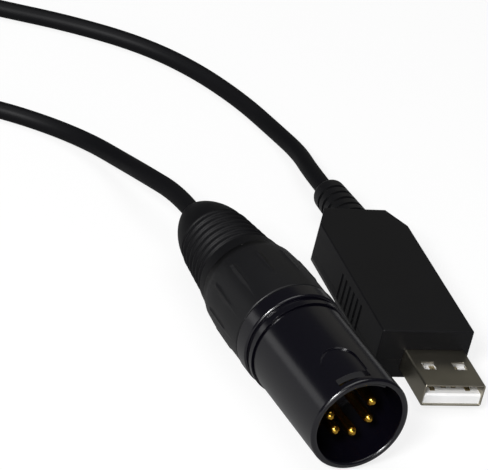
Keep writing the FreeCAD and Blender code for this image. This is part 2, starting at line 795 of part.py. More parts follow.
inner_half = "plug_width/2 - plug_sheet - tongue_play"
inner_top = "plug_height/2 - plug_sheet - tongue_play"
carrier_side = [
    ("tongue_setback", "-(%s)" % inner_top),
    (PLUG_END, "-(%s)" % inner_top),
    (PLUG_END, inner_top),
    ("tongue_free", inner_top),
    ("tongue_free", CARRIER_TOP),
    ("tongue_setback + tongue_lead_in", CARRIER_TOP),
    ("tongue_setback", CARRIER_TOP + " - tongue_lead_in"),
]
tongue = new_body("usb_tongue")
padded(tongue, "carrier", "YZ_Plane", carrier_side, "2*(%s)" % inner_half, "-(%s)" % inner_half)
for pair, offset, setback in (("power", "outer_contact", "outer_setback"),
                              ("data", "inner_contact", "inner_setback")):
    half = "(contact_wide/2 + contact_play)"
    groove = cut_along(tongue, pair + "_groove",
                       box_points("%s - %s" % (offset, half), "%s + %s" % (offset, half),
                                  STRIP_LOW, STRIP_HIGH + " + contact_play"),
                       setback + " - contact_groove_lead", PLUG_END + " + overrun")
    mirrored(tongue, pair + "_grooves", groove)
place_usb(tongue)

contacts = []
for number, offset, setback in ((1, "-outer_contact", "outer_setback"),
                                (2, "-inner_contact", "inner_setback"),
                                (3, "inner_contact", "inner_setback"),
                                (4, "outer_contact", "outer_setback")):
    strip = new_body("usb_contact_%d" % number)
    side = [
        (setback, STRIP_LOW),
        (PLUG_END + " + contact_tail", STRIP_LOW),
        (PLUG_END + " + contact_tail", STRIP_HIGH),
        (setback + " + contact_bevel", STRIP_HIGH),
        (setback, STRIP_HIGH + " - contact_bevel"),
    ]
    padded(strip, "strip_%d" % number, "YZ_Plane", side, "contact_wide",
           "%s - contact_wide/2" % offset)
    contacts.append(place_usb(strip))

# Converter board and what is soldered to it, each in the board's frame

board = new_body("circuit_board")
padded(board, "laminate", "XY_Plane",
       box_points("-board_width/2", "board_width/2", "0", "board_length"),
       "board_thick", "-board_thick")
place_board(board)


def chip(label, long, wide):
    """A flat moulded chip with bevelled upper edges."""
    body = new_body(label)
    padded(body, label + "_mould", "XY_Plane",
           box_points("-%s/2" % wide, "%s/2" % wide, "0", long), "chip_tall", "chip_lift")
    last = body.Tip
    bevel = body.newObject("PartDesign::Chamfer", label + "_bevel")
    bevel.Base = (last, face_names(last.Shape, "Z", value("chip_lift + chip_tall")))
    bind(bevel, "Size", "chip_bevel")
    body.Tip = bevel
    doc.recompute()
    return body


def leads(label, long, wide, pitch, lead_wide, count):
    """Bent leads on both long sides of a chip."""
    body = new_body(label)
    body.AllowCompound = True
    edge = "%s/2" % wide
    toe = edge + " + lead_reach"
    heel = toe + " - lead_foot"
    right = [
        (edge, "lead_tall - lead_thick"),
        (heel + " - lead_thick", "lead_tall - lead_thick"),
        (heel + " - lead_thick", "0"),
        (toe, "0"),
        (toe, "lead_thick"),
        (heel, "lead_thick"),
        (heel, "lead_tall"),
        (edge, "lead_tall"),
    ]
    left = [("-(%s)" % x, z) for x, z in right]
    span = "(%s - 1)*%s" % (count, pitch)
    first = "(%s - %s - %s)/2" % (long, span, lead_wide)
    pads = [run_of(body, label + side, points, first, "%s + %s" % (first, lead_wide))
            for side, points in (("_right", right), ("_left", left))]
    row = body.newObject("PartDesign::LinearPattern", label + "_row")
    row.Originals = pads
    row.Direction = (origin_plane(body, "Y_Axis"), [""])
    bind(row, "Length", span)
    bind(row, "Occurrences", count)
    body.Tip = row
    doc.recompute()
    return body


place_board(chip("converter_chip", "chip_long", "chip_wide"), "0", "chip_back")
place_board(leads("converter_chip_leads", "chip_long", "chip_wide", "chip_lead_pitch",
                  "chip_lead_wide", "chip_lead_count"), "0", "chip_back")
place_board(chip("line_driver_chip", "driver_long", "driver_wide"), "0", "driver_back")
place_board(leads("line_driver_leads", "driver_long", "driver_wide", "driver_lead_pitch",
                  "driver_lead_wide", "driver_lead_count"), "0", "driver_back")

crystal = new_body("clock_crystal")
padded(crystal, "crystal_can", "XY_Plane",
       rounded_box("crystal_wide/2", "crystal_long/2", "crystal_round", "0", "crystal_long/2"),
       "crystal_tall")
place_board(crystal, "-crystal_aside", "crystal_back")

bulk = new_body("bulk_capacitor")
pad_points = [
    ("0", "0"),
    ("bulk_radius", "0"),
    ("bulk_radius", "bulk_tall - bulk_bead"),
    ("bulk_radius - bulk_bead", "bulk_tall"),
    ("0", "bulk_tall"),
]
sketch = outline(bulk, "bulk_profile", "XZ_Plane", pad_points)
spin = bulk.newObject("PartDesign::Revolution", "bulk_turn")
spin.Profile = sketch
spin.ReferenceAxis = (sketch, ["V_Axis"])
spin.Angle = 360
doc.recompute()
place_board(bulk, "-bulk_aside", "bulk_back")

small = new_body("small_parts")
small.AllowCompound = True
first_small = padded(small, "small_part", "XY_Plane",
                     box_points("-small_wide/2", "small_wide/2", "0", "small_long"), "small_tall")
in_row(small, "small_row", first_small, "Y_Axis", "(small_count - 1)*small_pitch", "small_count")
place_board(small, "small_aside", "small_back")

# Housing, in its own frame


def plan(inset, front):
    """The housing seen from above, drawn in by an inset, from a place behind its front."""
    side = "case_width/2 - (%s)" % inset
    rear = "case_length - (%s)" % inset
    corner_y = "case_length - corner_cut_long - corner_side_share*(%s)" % inset
    corner_x = "case_width/2 - corner_cut_wide - corner_rear_share*(%s)" % inset
    return [
        ("-(%s)" % side, front),
        (side, front),
        (side, corner_y),
        (corner_x, rear),
        ("-(%s)" % corner_x, rear),
        ("-(%s)" % side, corner_y),
    ]


RELIEF_X = "relief_side_offset"
RELIEF_Z = "case_height/2 + relief_rise"
BOARD_LOW = "plug_axis_height + %s - board_thick" % BOARD_TOP
CASE_REAR = "case_length - case_wall"


def openings(body, label):
    """Cut the plug's opening and the strain relief's seat."""
    cut_along(body, label + "_plug_opening",
              rounded_box("plug_width/2 + plug_slot_play", "plug_height/2 + plug_slot_play",
                          "plug_fold + plug_slot_play", "plug_side_offset", "plug_axis_height"),
              "-overrun", "plug_buried + plug_slot_play")
    disc_cut(body, label + "_neck_hole", RELIEF_X, RELIEF_Z, "neck_radius + neck_play",
             CASE_REAR + " - flange_thick", "case_length + overrun")


def grips(body, label, low, high):
    """Cut the grip grooves into both sides between two heights."""
    deep = "case_width/2 - grip_deep"
    groove = pocketed(body, label + "_grip", "XY_Plane",
                      box_points(deep, "case_width/2 + overrun", "grip_first",
                                 "grip_first + grip_wide"),
                      "(%s) - (%s)" % (high, low), high)
    other = pocketed(body, label + "_grip_left", "XY_Plane",
                     box_points("-case_width/2 - overrun", "-(%s)" % deep, "grip_first",
                                "grip_first + grip_wide"),
                     "(%s) - (%s)" % (high, low), high)
    row = body.newObject("PartDesign::LinearPattern", label + "_grips")
    row.Originals = [groove, other]
    row.Direction = (origin_plane(body, "Y_Axis"), [""])
    bind(row, "Length", "(grip_count - 1)*grip_pitch")
    bind(row, "Occurrences", "grip_count")
    body.Tip = row
    doc.recompute()


split = value("plug_axis_height")
lower = new_body("usb_lower_shell")
run_of(lower, "lower_block", [
    ("-case_width/2 + bevel_wide", "0"),
    ("case_width/2 - bevel_wide", "0"),
    ("case_width/2", "bevel_tall"),
    ("case_width/2", "plug_axis_height"),
    ("-case_width/2", "plug_axis_height"),
    ("-case_width/2", "bevel_tall"),
], "0", "case_length")
for side, sign in (("_right", ""), ("_left", "-")):
    pocketed(lower, "lower_corner" + side, "XY_Plane", [
        ("%s(case_width/2 - 2*corner_cut_wide)" % sign, "case_length + corner_cut_long"),
        ("%s(case_width/2 + corner_cut_wide)" % sign, "case_length - 2*corner_cut_long"),
        ("%s(case_width/2 + corner_cut_wide)" % sign, "case_length + corner_cut_long"),
    ], "case_height", "case_height - overrun")
eased(lower, "lower_edges", edge_names(lower.Shape, lambda b: b.ZMin < split - 1e-4), "case_edge")
padded(lower, "lower_lip", "XY_Plane",
       plan("case_wall - lip_thick", "case_block - lip_thick"), "lip_tall", "plug_axis_height")
pocketed(lower, "lower_cavity", "XY_Plane", plan("case_wall", "case_block"),
         "plug_axis_height + lip_tall - (%s)" % BOARD_LOW, "plug_axis_height + lip_tall")
pocketed(lower, "under_board", "XY_Plane",
         plan("case_wall + ledge_wide", "case_block + ledge_wide"),
         "%s - floor_thick" % BOARD_LOW, BOARD_LOW)
openings(lower, "lower")
disc_cut(lower, "lower_flange_seat", RELIEF_X, RELIEF_Z, "flange_radius + neck_play",
         CASE_REAR + " - ledge_wide - overrun", CASE_REAR)
grips(lower, "lower", "grip_low", "plug_axis_height")
place_case(lower)

upper = new_body("usb_upper_shell")
padded(upper, "upper_block", "XY_Plane", plan("0", "0"),
       "case_height - plug_axis_height", "plug_axis_height")
eased(upper, "upper_edges", edge_names(upper.Shape, lambda b: b.ZMax > split + 1e-4), "case_edge")
pocketed(upper, "upper_rebate", "XY_Plane",
         plan("case_wall - lip_thick - lip_play", "case_block - lip_thick - lip_play"),
         "lip_tall + lip_play", "plug_axis_height", True)
pocketed(upper, "upper_cavity", "XY_Plane", plan("case_wall", "case_block"),
         "case_height - case_wall - plug_axis_height", "plug_axis_height", True)
openings(upper, "upper")
grips(upper, "upper", "plug_axis_height", "grip_high")
place_case(upper)

# Strain relief, cable end and wires at the plug's end, in the housing's frame

relief_way = Rotation(Vector(0, 0, 1), size("relief_yaw")).multiply(
    Rotation(Vector(1, 0, 0), -size("relief_droop")))
relief_base = Vector(value(RELIEF_X), size("case_length"), value(RELIEF_Z))
relief_line = relief_way.multVec(Vector(0, 1, 0))
relief_tip = relief_base + relief_line * size("relief_length")
jacket_front = Vector(relief_base.x, value(CASE_REAR + " - flange_thick - ledge_wide"),
                      relief_base.z)


def oval(name, half_wide, half_tall, place):
    """An upright oval across the local Y axis."""
    ring = doc.addObject("Part::Ellipse", name)
    bind(ring, "MajorRadius", half_wide)
    bind(ring, "MinorRadius", half_tall)
    ring.Placement.Rotation = Rotation(Vector(1, 0, 0), 90)
    bind(ring, "Placement.Base.y", place)
    return ring


def tapered(name, shrink):
    """The relief's taper, drawn in all round by a size."""
    loft = doc.addObject("Part::Loft", name)
    loft.Sections = [
        oval(name + "_base", "relief_base_wide - (%s)" % shrink,
             "relief_base_tall - (%s)" % shrink, "relief_root"),
        oval(name + "_tip", "relief_tip_radius - (%s)" % shrink,
             "relief_tip_radius - (%s)" % shrink, "relief_length - relief_tip_long"),
    ]
    loft.Solid = True
    loft.Ruled = True
    return loft


grooves = [solid_box("relief_groove_%d" % k, "-2*relief_base_wide", "2*relief_base_wide",
                     "relief_groove_first + %d*relief_groove_pitch" % k,
                     "relief_groove_first + relief_groove_wide + %d*relief_groove_pitch" % k,
                     "-2*relief_base_wide", "2*relief_base_wide")
           for k in range(int(size("relief_grooves")))]
ribs = cut_from("relief_ribs", tapered("relief_taper", "0*relief_root"),
                grouped("relief_grooves", grooves))
cap = turned("relief_cap", [
    ("0", "relief_length - 2*relief_tip_long"),
    ("relief_tip_radius", "relief_length - 2*relief_tip_long"),
    ("relief_tip_radius", "relief_length - relief_tip_long", "-relief_tip_curve"),
    ("relief_tip_flat", "relief_length"),
    ("0", "relief_length"),
])
outside = joined("relief_outside", [ribs, tapered("relief_core", "relief_groove_deep"), cap])
outside.Placement = Placement(relief_base, relief_way)
bind(outside, "Placement.Base.x", RELIEF_X)
bind(outside, "Placement.Base.y", "case_length")
bind(outside, "Placement.Base.z", RELIEF_Z)
seat = turned("relief_seat", [
    ("0", "-case_wall - flange_thick"),
    ("flange_radius", "-case_wall - flange_thick"),
    ("flange_radius", "-case_wall"),
    ("neck_radius", "-case_wall"),
    ("neck_radius", "2*relief_root"),
    ("0", "2*relief_root"),
])
bind(seat, "Placement.Base.x", RELIEF_X)
bind(seat, "Placement.Base.y", "case_length")
bind(seat, "Placement.Base.z", RELIEF_Z)
jacket_line = [jacket_front, relief_base, relief_tip]
bore = drawn("relief_bore", tube(jacket_line, size("cable_radius")))
relief = cut_from("usb_strain_relief", joined("relief_moulding", [outside, seat]), bore)
place_case(relief)
place_case(drawn("usb_cable_end", tube(jacket_line, size("cable_radius"))))


def bundle(around, angles):
    """Places of the wires round the cable's middle, seen along Y."""
    spread = size("wire_spread")
    return [around + Vector(spread * math.cos(math.radians(a)), 0,
                            spread * math.sin(math.radians(a))) for a in angles]


board_rear = value("plug_buried + board_gap + board_length")
wire_rest = value("plug_axis_height + %s + wire_radius" % BOARD_TOP)
wires = []
for place, start in zip((-1, 0, 1), bundle(jacket_front, (210, 90, 330))):
    pad_x = relief_base.x + place * size("wire_pitch")
    pad_y = board_rear - size("wire_pad")
    wires.append(tube([start, start - Vector(0, size("wire_bare"), 0),
                       Vector(pad_x, pad_y, wire_rest),
                       Vector(pad_x, pad_y - size("wire_pad"), wire_rest)],
                      size("wire_radius")))
place_case(drawn("usb_wires", Part.makeCompound(wires)))

# Round connector, in its own frame

shell = turned("xlr_shell", [
    ("cup_radius", "0"),
    ("barrel_radius", "0"),
    ("barrel_radius", "ridge_front - front_ditch_long"),
    ("front_ditch_radius", "ridge_front - front_ditch_long"),
    ("front_ditch_radius", "ridge_front"),
    ("ridge_radius", "ridge_front"),
    ("ridge_radius", "ridge_front + ridge_long"),
    ("rear_ditch_radius", "ridge_front + ridge_long"),
    ("rear_ditch_radius", "collar_front"),
    ("collar_radius", "collar_front"),
    ("collar_radius", "shell_length"),
    ("rear_bore_radius", "shell_length"),
    ("rear_bore_radius", INSERT_SEAT),
    ("lip_radius", INSERT_SEAT),
    ("lip_radius", "cup_depth"),
    ("cup_radius", "cup_depth"),
])
rounded(shell, "shell_rim", [("barrel_radius", "0")], "rim_round")
rounded(shell, "shell_rim_inner", [("cup_radius", "0")], "rim_inner_round")
rounded(shell, "shell_collar", [("collar_radius", "collar_front"),
                                ("collar_radius", "shell_length")], "collar_round")
land_outline = outline(shell, "shell_land_outline", "YZ_Plane", [
    ("land_front", "cup_radius - land_deep"),
    (INSERT_SEAT, "cup_radius - land_deep"),
    (INSERT_SEAT, "(cup_radius + barrel_radius)/2"),
    ("land_front", "(cup_radius + barrel_radius)/2"),
])
part_turned(shell, "shell_land", land_outline, "land_span")
pocketed(shell, "latch_window", "XY_Plane",
         box_points("-window_wide/2", "window_wide/2", "window_front",
                    "window_front + window_long"),
         "barrel_radius + overrun - window_floor", "barrel_radius + overrun")
thumb_start = "window_front + window_long"
thumb_end = thumb_start + " + thumb_long"
pocketed(shell, "thumb_recess", "XY_Plane", [
    ("-thumb_wide/2", thumb_start),
    ("thumb_wide/2", thumb_start),
    ("thumb_wide/2", thumb_end + " - thumb_wide/2", "-(thumb_wide/2)"),
    ("0", thumb_end, "-(thumb_wide/2)"),
    ("-thumb_wide/2", thumb_end + " - thumb_wide/2"),
], "overrun + thumb_cut", "barrel_radius + overrun")
floor_low = "(cup_radius + barrel_radius - thumb_cut)/2"
floor_outline = outline(shell, "thumb_floor_outline", "YZ_Plane", [
    (thumb_start, floor_low),
    (thumb_end, floor_low),
    (thumb_end, "barrel_radius - thumb_deep"),
    (thumb_start, "barrel_radius - thumb_deep"),
])
part_turned(shell, "thumb_floor", floor_outline, "thumb_floor_span")
place_xlr(shell)

insert = turned("xlr_insert", [
    ("0", "cup_depth"),
    ("insert_face_radius", "cup_depth"),
    ("insert_face_radius", INSERT_SEAT),
    ("rear_bore_radius - insert_play", INSERT_SEAT),
    ("rear_bore_radius - insert_play", INSERT_REAR),
    ("0", INSERT_REAR),
])
pocketed(insert, "spring_slot", "XY_Plane",
         box_points("-spring_wide/2 - spring_slot_play", "spring_wide/2 + spring_slot_play",
                    INSERT_SEAT, INSERT_REAR + " + overrun"),
         "overrun + rear_bore_radius - spring_low + spring_slot_play",
         "rear_bore_radius + overrun")
pin_angles = [270 + size("pin_step") * k for k in (-2, -1, 0, 1, 2)]
for number, angle in enumerate(pin_angles, 1):
    disc_cut(insert, "pin_hole_%d" % number,
             "pin_circle*(%.9f)" % math.cos(math.radians(angle)),
             "pin_circle*(%.9f)" % math.sin(math.radians(angle)),
             "pin_radius + pin_hole_play", "cup_depth - overrun", INSERT_REAR + " + overrun")
place_xlr(insert)

spring = new_body("xlr_ground_spring")
padded(spring, "spring_leaf", "XY_Plane",
       box_points("-spring_wide/2", "spring_wide/2", INSERT_SEAT + " + spring_slot_play",
                  INSERT_REAR), "spring_thick", "spring_low")
place_xlr(spring)

for number, angle in enumerate(pin_angles, 1):
    pin = turned("xlr_pin_%d" % number, [
        ("0", "pin_setback"),
        ("pin_tip_flat", "pin_setback", "-pin_tip_curve"),
        ("pin_radius", "pin_setback + pin_tip_long"),
        ("pin_radius", INSERT_REAR),
        ("pin_shoulder_radius", INSERT_REAR),
        ("pin_shoulder_radius", INSERT_REAR + " + pin_shoulder_long"),
        ("solder_cup_radius", INSERT_REAR + " + pin_shoulder_long"),
        ("solder_cup_radius", INSERT_REAR + " + pin_shoulder_long + solder_cup_long"),
        ("solder_cup_bore", INSERT_REAR + " + pin_shoulder_long + solder_cup_long"),
        ("solder_cup_bore", INSERT_REAR + " + 2*pin_shoulder_long"),
        ("0", INSERT_REAR + " + 2*pin_shoulder_long"),
    ])
    place_xlr(pin)
    turn = math.radians(angle)
    aside = xlr_frame().Rotation.multVec(Vector(math.cos(turn), 0, math.sin(turn)))
    bind(pin, "Placement.Base.x", XLR_X + " + pin_circle*(%.9f)" % aside.x)
    bind(pin, "Placement.Base.y", XLR_Y + " + pin_circle*(%.9f)" % aside.y)
    bind(pin, "Placement.Base.z", "collar_radius + pin_circle*(%.9f)" % aside.z)

JACKET = CHUCK_FRONT + " - jacket_past_chuck"
place_xlr(turned("xlr_cable_end", [
    ("0", JACKET),
    ("cable_radius", JACKET),
    ("cable_radius", SLEEVE_END),
    ("0", SLEEVE_END),
]))

wires = []
cup_floor = value(INSERT_REAR + " + 2*pin_shoulder_long + wire_radius")
cup_rear = value(INSERT_REAR + " + pin_shoulder_long + solder_cup_long")
jacket_at = Vector(0, value(JACKET), 0)
middle_angle = pin_angles[1]
for angle, end in zip(pin_angles, bundle(jacket_at, (middle_angle - 120, middle_angle,
                                                      middle_angle + 120))):
    turn = math.radians(angle)
    pin_at = Vector(math.cos(turn), 0, math.sin(turn)) * size("pin_circle")
    wires.append(tube([pin_at + Vector(0, cup_floor, 0),
                       pin_at + Vector(0, cup_rear + size("wire_bare"), 0),
                       end - Vector(0, size("wire_bare"), 0), end], size("wire_radius")))
place_xlr(drawn("xlr_wires", Part.makeCompound(wires)))

chuck_bore = "cable_radius + chuck_grip_play"
chuck = turned("xlr_chuck", [
    (chuck_bore, CHUCK_FRONT),
    ("nut_bore - chuck_play", CHUCK_FRONT),
    ("nut_bore - chuck_play", CHUCK_FRONT + " + chuck_long"),
    ("chuck_tip_radius", CHUCK_FRONT + " + chuck_long + chuck_taper_long"),
    (chuck_bore, CHUCK_FRONT + " + chuck_long + chuck_taper_long"),
])
CHUCK_END = CHUCK_FRONT + " + chuck_long + chuck_taper_long"
slot = pocketed(chuck, "chuck_slot", "XY_Plane",
                box_points("-chuck_slot_wide/2", "chuck_slot_wide/2",
                           CHUCK_END + " - chuck_slot_long", CHUCK_END + " + overrun"),
                "nut_bore + overrun", "nut_bore + overrun")
round_about_y(chuck, slot, "chuck_slots", "chuck_slots_round")
place_xlr(chuck)


def behind_nut(text):
    return NUT_FRONT + " + " + text


nut = turned("xlr_boot_nut", [
    ("nut_bore", NUT_FRONT + " - thread_long"),
    ("rear_bore_radius - thread_play", NUT_FRONT + " - thread_long"),
    ("rear_bore_radius - thread_play", NUT_FRONT),
    ("nut_front_radius", NUT_FRONT),
    ("nut_front_radius", behind_nut("nut_belly")),
    ("nut_waist_radius", behind_nut("nut_waist")),
    ("nut_shoulder_radius", behind_nut("nut_shoulder")),
    ("nut_band_radius", behind_nut("nut_band_front")),
    ("nut_band_radius", behind_nut("nut_length")),
    ("nut_mouth_radius", behind_nut("nut_length")),
    ("nut_mouth_radius", behind_nut("nut_length - nut_mouth_long")),
    ("nut_bore", behind_nut("nut_cone_front")),
])
rounded(nut, "nut_front_edge", [("nut_front_radius", NUT_FRONT)], "nut_front_round")
rib_outline = outline(nut, "nut_rib_outline", "YZ_Plane", [
    (behind_nut("nut_rib_front"), "nut_front_radius - nut_rib_sunk"),
    (behind_nut("nut_belly"), "nut_front_radius + nut_rib_tall"),
    (behind_nut("nut_waist"), "nut_waist_radius + nut_rib_tall"),
    (behind_nut("nut_rib_rear"), "nut_shoulder_radius - nut_rib_sunk"),
])
rib = part_turned(nut, "nut_rib", rib_outline, "nut_rib_span")
round_about_y(nut, rib, "nut_rib_count", "nut_ribs")
place_xlr(nut, size("nut_rib_turn"))

sleeve_side = [
    ("cable_radius + sleeve_play", SLEEVE_FRONT + " - neck_in_nut_long"),
    ("nut_mouth_radius - neck_in_nut_play", SLEEVE_FRONT + " - neck_in_nut_long"),
    ("nut_mouth_radius - neck_in_nut_play", SLEEVE_FRONT),
    ("sleeve_front_radius", SLEEVE_FRONT),
    ("sleeve_band_radius", SLEEVE_FRONT + " + sleeve_band_long"),
]
for k in range(int(size("sleeve_rib_count"))):
    at = SLEEVE_FRONT + " + sleeve_band_long + %d*sleeve_rib_pitch" % k
    crest = "sleeve_rib_radius - %d*sleeve_rib_shrink" % k
    sleeve_side += [
        (crest + " - sleeve_rib_drop", at, "sleeve_groove_curve"),
        (crest + " - sleeve_rib_drop", at + " + sleeve_groove_wide", "-sleeve_rib_curve"),
    ]
sleeve_side += [
    (crest + " - sleeve_rib_drop - sleeve_rib_shrink", RIBS_END, "sleeve_groove_curve"),
    ("dome_radius", DOME_FRONT, "-dome_curve"),
    ("dome_flat", SLEEVE_END),
    ("cable_radius + sleeve_play", SLEEVE_END),
]
sleeve = turned("xlr_boot_sleeve", sleeve_side)
rounded(sleeve, "sleeve_tip", [("dome_flat", SLEEVE_END)], "dome_tip_round")
place_xlr(sleeve)

# Cable on the floor: its route by hand, in units of route_unit, then the coil

UNIT = size("route_unit")
FLOOR = size("cable_radius")


def coil_radius(turns):
    """Radius of the coil after a number of turns: in, out, in, out, then off its side."""
    step = size("coil_step")
    layer = size("coil_layer_turns")
    inner = size("coil_outer") - step * layer
    last = 4 * layer
    if turns > last - 0.5:
        part = min((turns - last + 0.5) / 0.5, 1.0)
        start = inner + step * (layer - 0.5)
        end = size("coil_outer") + size("coil_last_share") * step
        rise = part * part * (3 - 2 * part)
        slope = 0.5 * step * part * (1 - part) * (1 - part)
        return start + (end - start) * rise + slope
    nearest = round(turns / layer)
    away = abs(turns - nearest * layer)
    if nearest > 0 and away < 0.25:
        away = away * away * 2 + 0.125
    outward = nearest % 2 == 0
    return size("coil_outer") - step * away if outward else inner + step * away


def eased_step(part):
    part = min(max(part, 0.0), 1.0)
    return part * part * (3 - 2 * part)


def coil_point(turns):
    """Middle of the cable after a number of turns, counter-clockwise from above."""
    layer = size("coil_layer_turns")
    angle = math.radians(size("coil_entry")) + 2 * math.pi * turns
    climbed = sum(eased_step((turns - layer * k) / 0.5 + 0.5) for k in (1, 2, 3))
    fallen = 3 * eased_step((turns - 4 * layer) / 0.5)
    reach = coil_radius(turns)
    return Vector(size("coil_x") + reach * math.cos(angle),
                  size("coil_y") + reach * math.sin(angle),
                  FLOOR + size("coil_step") * (climbed - fallen))


def coil_way(turns):
    return (coil_point(turns + 1e-4) - coil_point(turns - 1e-4)).normalize()


def arc_between(start, way, end):
    """An arc from start along a direction to end, as an edge."""
    chord = end - start
    half = chord.Length / 2
    along = chord * (1 / chord.Length)
    side = way - along * way.dot(along)
    if side.Length < 1e-7:
        return Part.LineSegment(start, end).toShape()
    side.normalize()
    lift = half * math.tan(math.acos(max(-1.0, min(1.0, way.dot(along)))) / 2)
    return Part.Arc(start, (start + end) * 0.5 + side * lift, end).toShape()


def two_arcs(start, way, end, end_way):
    """Two arcs that meet smoothly between two places with given directions."""
    gap = end - start
    a = 2 * (1 - way.dot(end_way))
    b = 2 * gap.dot(way + end_way)
    c = -gap.dot(gap)
    reach = (-b + math.sqrt(b * b - 4 * a * c)) / (2 * a)
    first = start + way * reach
    second = end - end_way * reach
    meet = (first + second) * 0.5
    return [arc_between(start, way, meet),
            arc_between(meet, (second - first).normalize(), end)]


def coil_edges():
    """The coil's line: a straight entry, two arcs each quarter turn, a straight exit."""
    turns = 4 * size("coil_layer_turns") + 0.5
    straight = 2 * size("cable_radius")
    places = [0.0001 + (turns - 0.0002) * k / (4 * turns) for k in range(int(4 * turns) + 1)]
    start = coil_point(places[0])
    edges = [Part.LineSegment(start - coil_way(places[0]) * straight, start).toShape()]
    for low, high in zip(places, places[1:]):
        edges += two_arcs(coil_point(low), coil_way(low), coil_point(high), coil_way(high))
    last = coil_point(places[-1])
    level = coil_way(places[-1])
    edges.append(Part.LineSegment(last, last + level * straight).toShape())
    return edges


def least_gap(wire, diameter):
    """Least distance of a tube's surface to itself, along its middle line."""
    count = int(wire.Length / 0.8)
    marks = [(p.x, p.y, p.z) for p in wire.discretize(Number=count)]
    apart = int(4 * diameter / 0.8)
    least = 1e9
    for i, one in enumerate(marks):
        for other in marks[i + apart:]:
            dz = one[2] - other[2]
            dx = one[0] - other[0]
            dy = one[1] - other[1]
            square = dx * dx + dy * dy + dz * dz
            if square < least:
                least = square
    return math.sqrt(least) - diameter


coil_line = coil_edges()
coil_start = coil_line[0].Vertexes[0].Point
coil_end = coil_line[-1].Vertexes[-1].Point


def stretch(label, inner, points, outer):
    """A stretch of cable: from a place along a direction, over hand-placed points."""
    line = [inner[0], inner[0] + inner[1] * (inner[2] * UNIT)]
    line += [Vector(x, y, z) * UNIT for x, y, z in points]
    line += [outer[0] + outer[1] * (outer[2] * UNIT), outer[0]]
    return drawn(label, tube(line, size("cable_radius"), label))


relief_out = Vector(value("usb_x - plug_side_offset"), value("usb_y + plug_reach"), 0) + relief_tip
boot_out = xlr_frame().multVec(Vector(0, value(SLEEVE_END), 0))
boot_line = xlr_frame().Rotation.multVec(Vector(0, 1, 0))
stretch("cable_usb_stretch", (relief_out, relief_line, 8.4), [
    (16.24, 61.73, 2.9),
    (14.94, 71.93, 1.75),
    (11.34, 84.43, 1.75),
    (4.64, 97.13, 1.75),
    (-4.46, 106.73, 1.75),
    (-17.76, 114.03, 1.75),
    (-31.36, 118.93, 1.75),
    (-45.06, 124.33, 1.75),
], (coil_start, -coil_way(0.0001), size("coil_lead_usb")))
stretch("cable_xlr_stretch", (boot_out, boot_line, 7.5), [
    (-22.31, 42.43, 7.8),
    (-23.46, 52.63, 4.85),
    (-27.06, 63.23, 2.35),
    (-33.96, 71.53, 1.75),
    (-43.96, 77.43, 1.75),
    (-54.76, 79.93, 1.75),
], (coil_end, coil_way(12.4999), size("coil_lead_xlr")))
coil_wire = Part.Wire(coil_line)
coil_tube = tube_along(coil_wire, coil_start, coil_way(0.0001), size("cable_radius"))
drawn("cable_coil", coil_tube)
section = math.pi * size("cable_radius") ** 2
print("cable_coil length %.1f" % coil_wire.Length,
      "volume/section*length %.4f" % (coil_tube.Volume / (section * coil_wire.Length)),
      "least gap to itself %.2f" % least_gap(coil_wire, 2 * size("cable_radius")))

NODES = (
    "usb_lower_shell", "usb_upper_shell", "usb_strain_relief", "usb_metal_shell", "usb_tongue",
    "usb_contact_1", "usb_contact_2", "usb_contact_3", "usb_contact_4",
    "circuit_board", "converter_chip", "converter_chip_leads", "line_driver_chip",
    "line_driver_leads", "clock_crystal", "bulk_capacitor", "small_parts", "usb_wires",
    "usb_cable_end", "xlr_shell", "xlr_insert", "xlr_pin_1", "xlr_pin_2", "xlr_pin_3",
    "xlr_pin_4", "xlr_pin_5", "xlr_ground_spring", "xlr_wires", "xlr_cable_end", "xlr_chuck",
    "xlr_boot_nut", "xlr_boot_sleeve", "cable_usb_stretch", "cable_coil", "cable_xlr_stretch",
)

doc.recompute()
for thing in doc.Objects:
    if "Invalid" in thing.State or "Error" in thing.State:
        raise RuntimeError("%s is in error: %s" % (thing.Label, thing.State))
os.makedirs("parts", exist_ok=True)
box = FreeCAD.BoundBox()
for label in NODES:
    piece = doc.getObjectsByLabel(label)[0]
    solid = piece.Shape
    if solid.isNull() or not solid.isValid():
        raise RuntimeError(label + " is not a valid solid")
    solid.exportStep("parts/%s.step" % label)
    if not label.startswith("cable_"):
        box.add(solid.BoundBox)
print("pieces", len(NODES), "box without the cable: x %.2f %.2f y %.2f %.2f z %.2f %.2f" % (
    box.XMin, box.XMax, box.YMin, box.YMax, box.ZMin, box.ZMax))
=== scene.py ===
"""Looks for a USB to DMX interface cable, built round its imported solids."""

import json
import math

import bmesh
import bpy
from mathutils import Matrix, Vector


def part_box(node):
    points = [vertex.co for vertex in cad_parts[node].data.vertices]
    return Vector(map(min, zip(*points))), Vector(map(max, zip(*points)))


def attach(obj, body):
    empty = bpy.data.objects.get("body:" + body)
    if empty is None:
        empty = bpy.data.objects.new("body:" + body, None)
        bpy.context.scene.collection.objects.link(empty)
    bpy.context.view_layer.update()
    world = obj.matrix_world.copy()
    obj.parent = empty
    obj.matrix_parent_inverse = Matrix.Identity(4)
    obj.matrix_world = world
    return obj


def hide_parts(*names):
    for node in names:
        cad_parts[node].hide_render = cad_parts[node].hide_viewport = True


bl_info = {
    "name": "USB DMX cable",
    "version": (1, 0, 0),
    "blender": (4, 5, 0),
    "location": "View3D > Sidebar > DMX cable",
    "description": "Finishes, cable and studio for a lighting interface cable",
    "category": "Object",
}

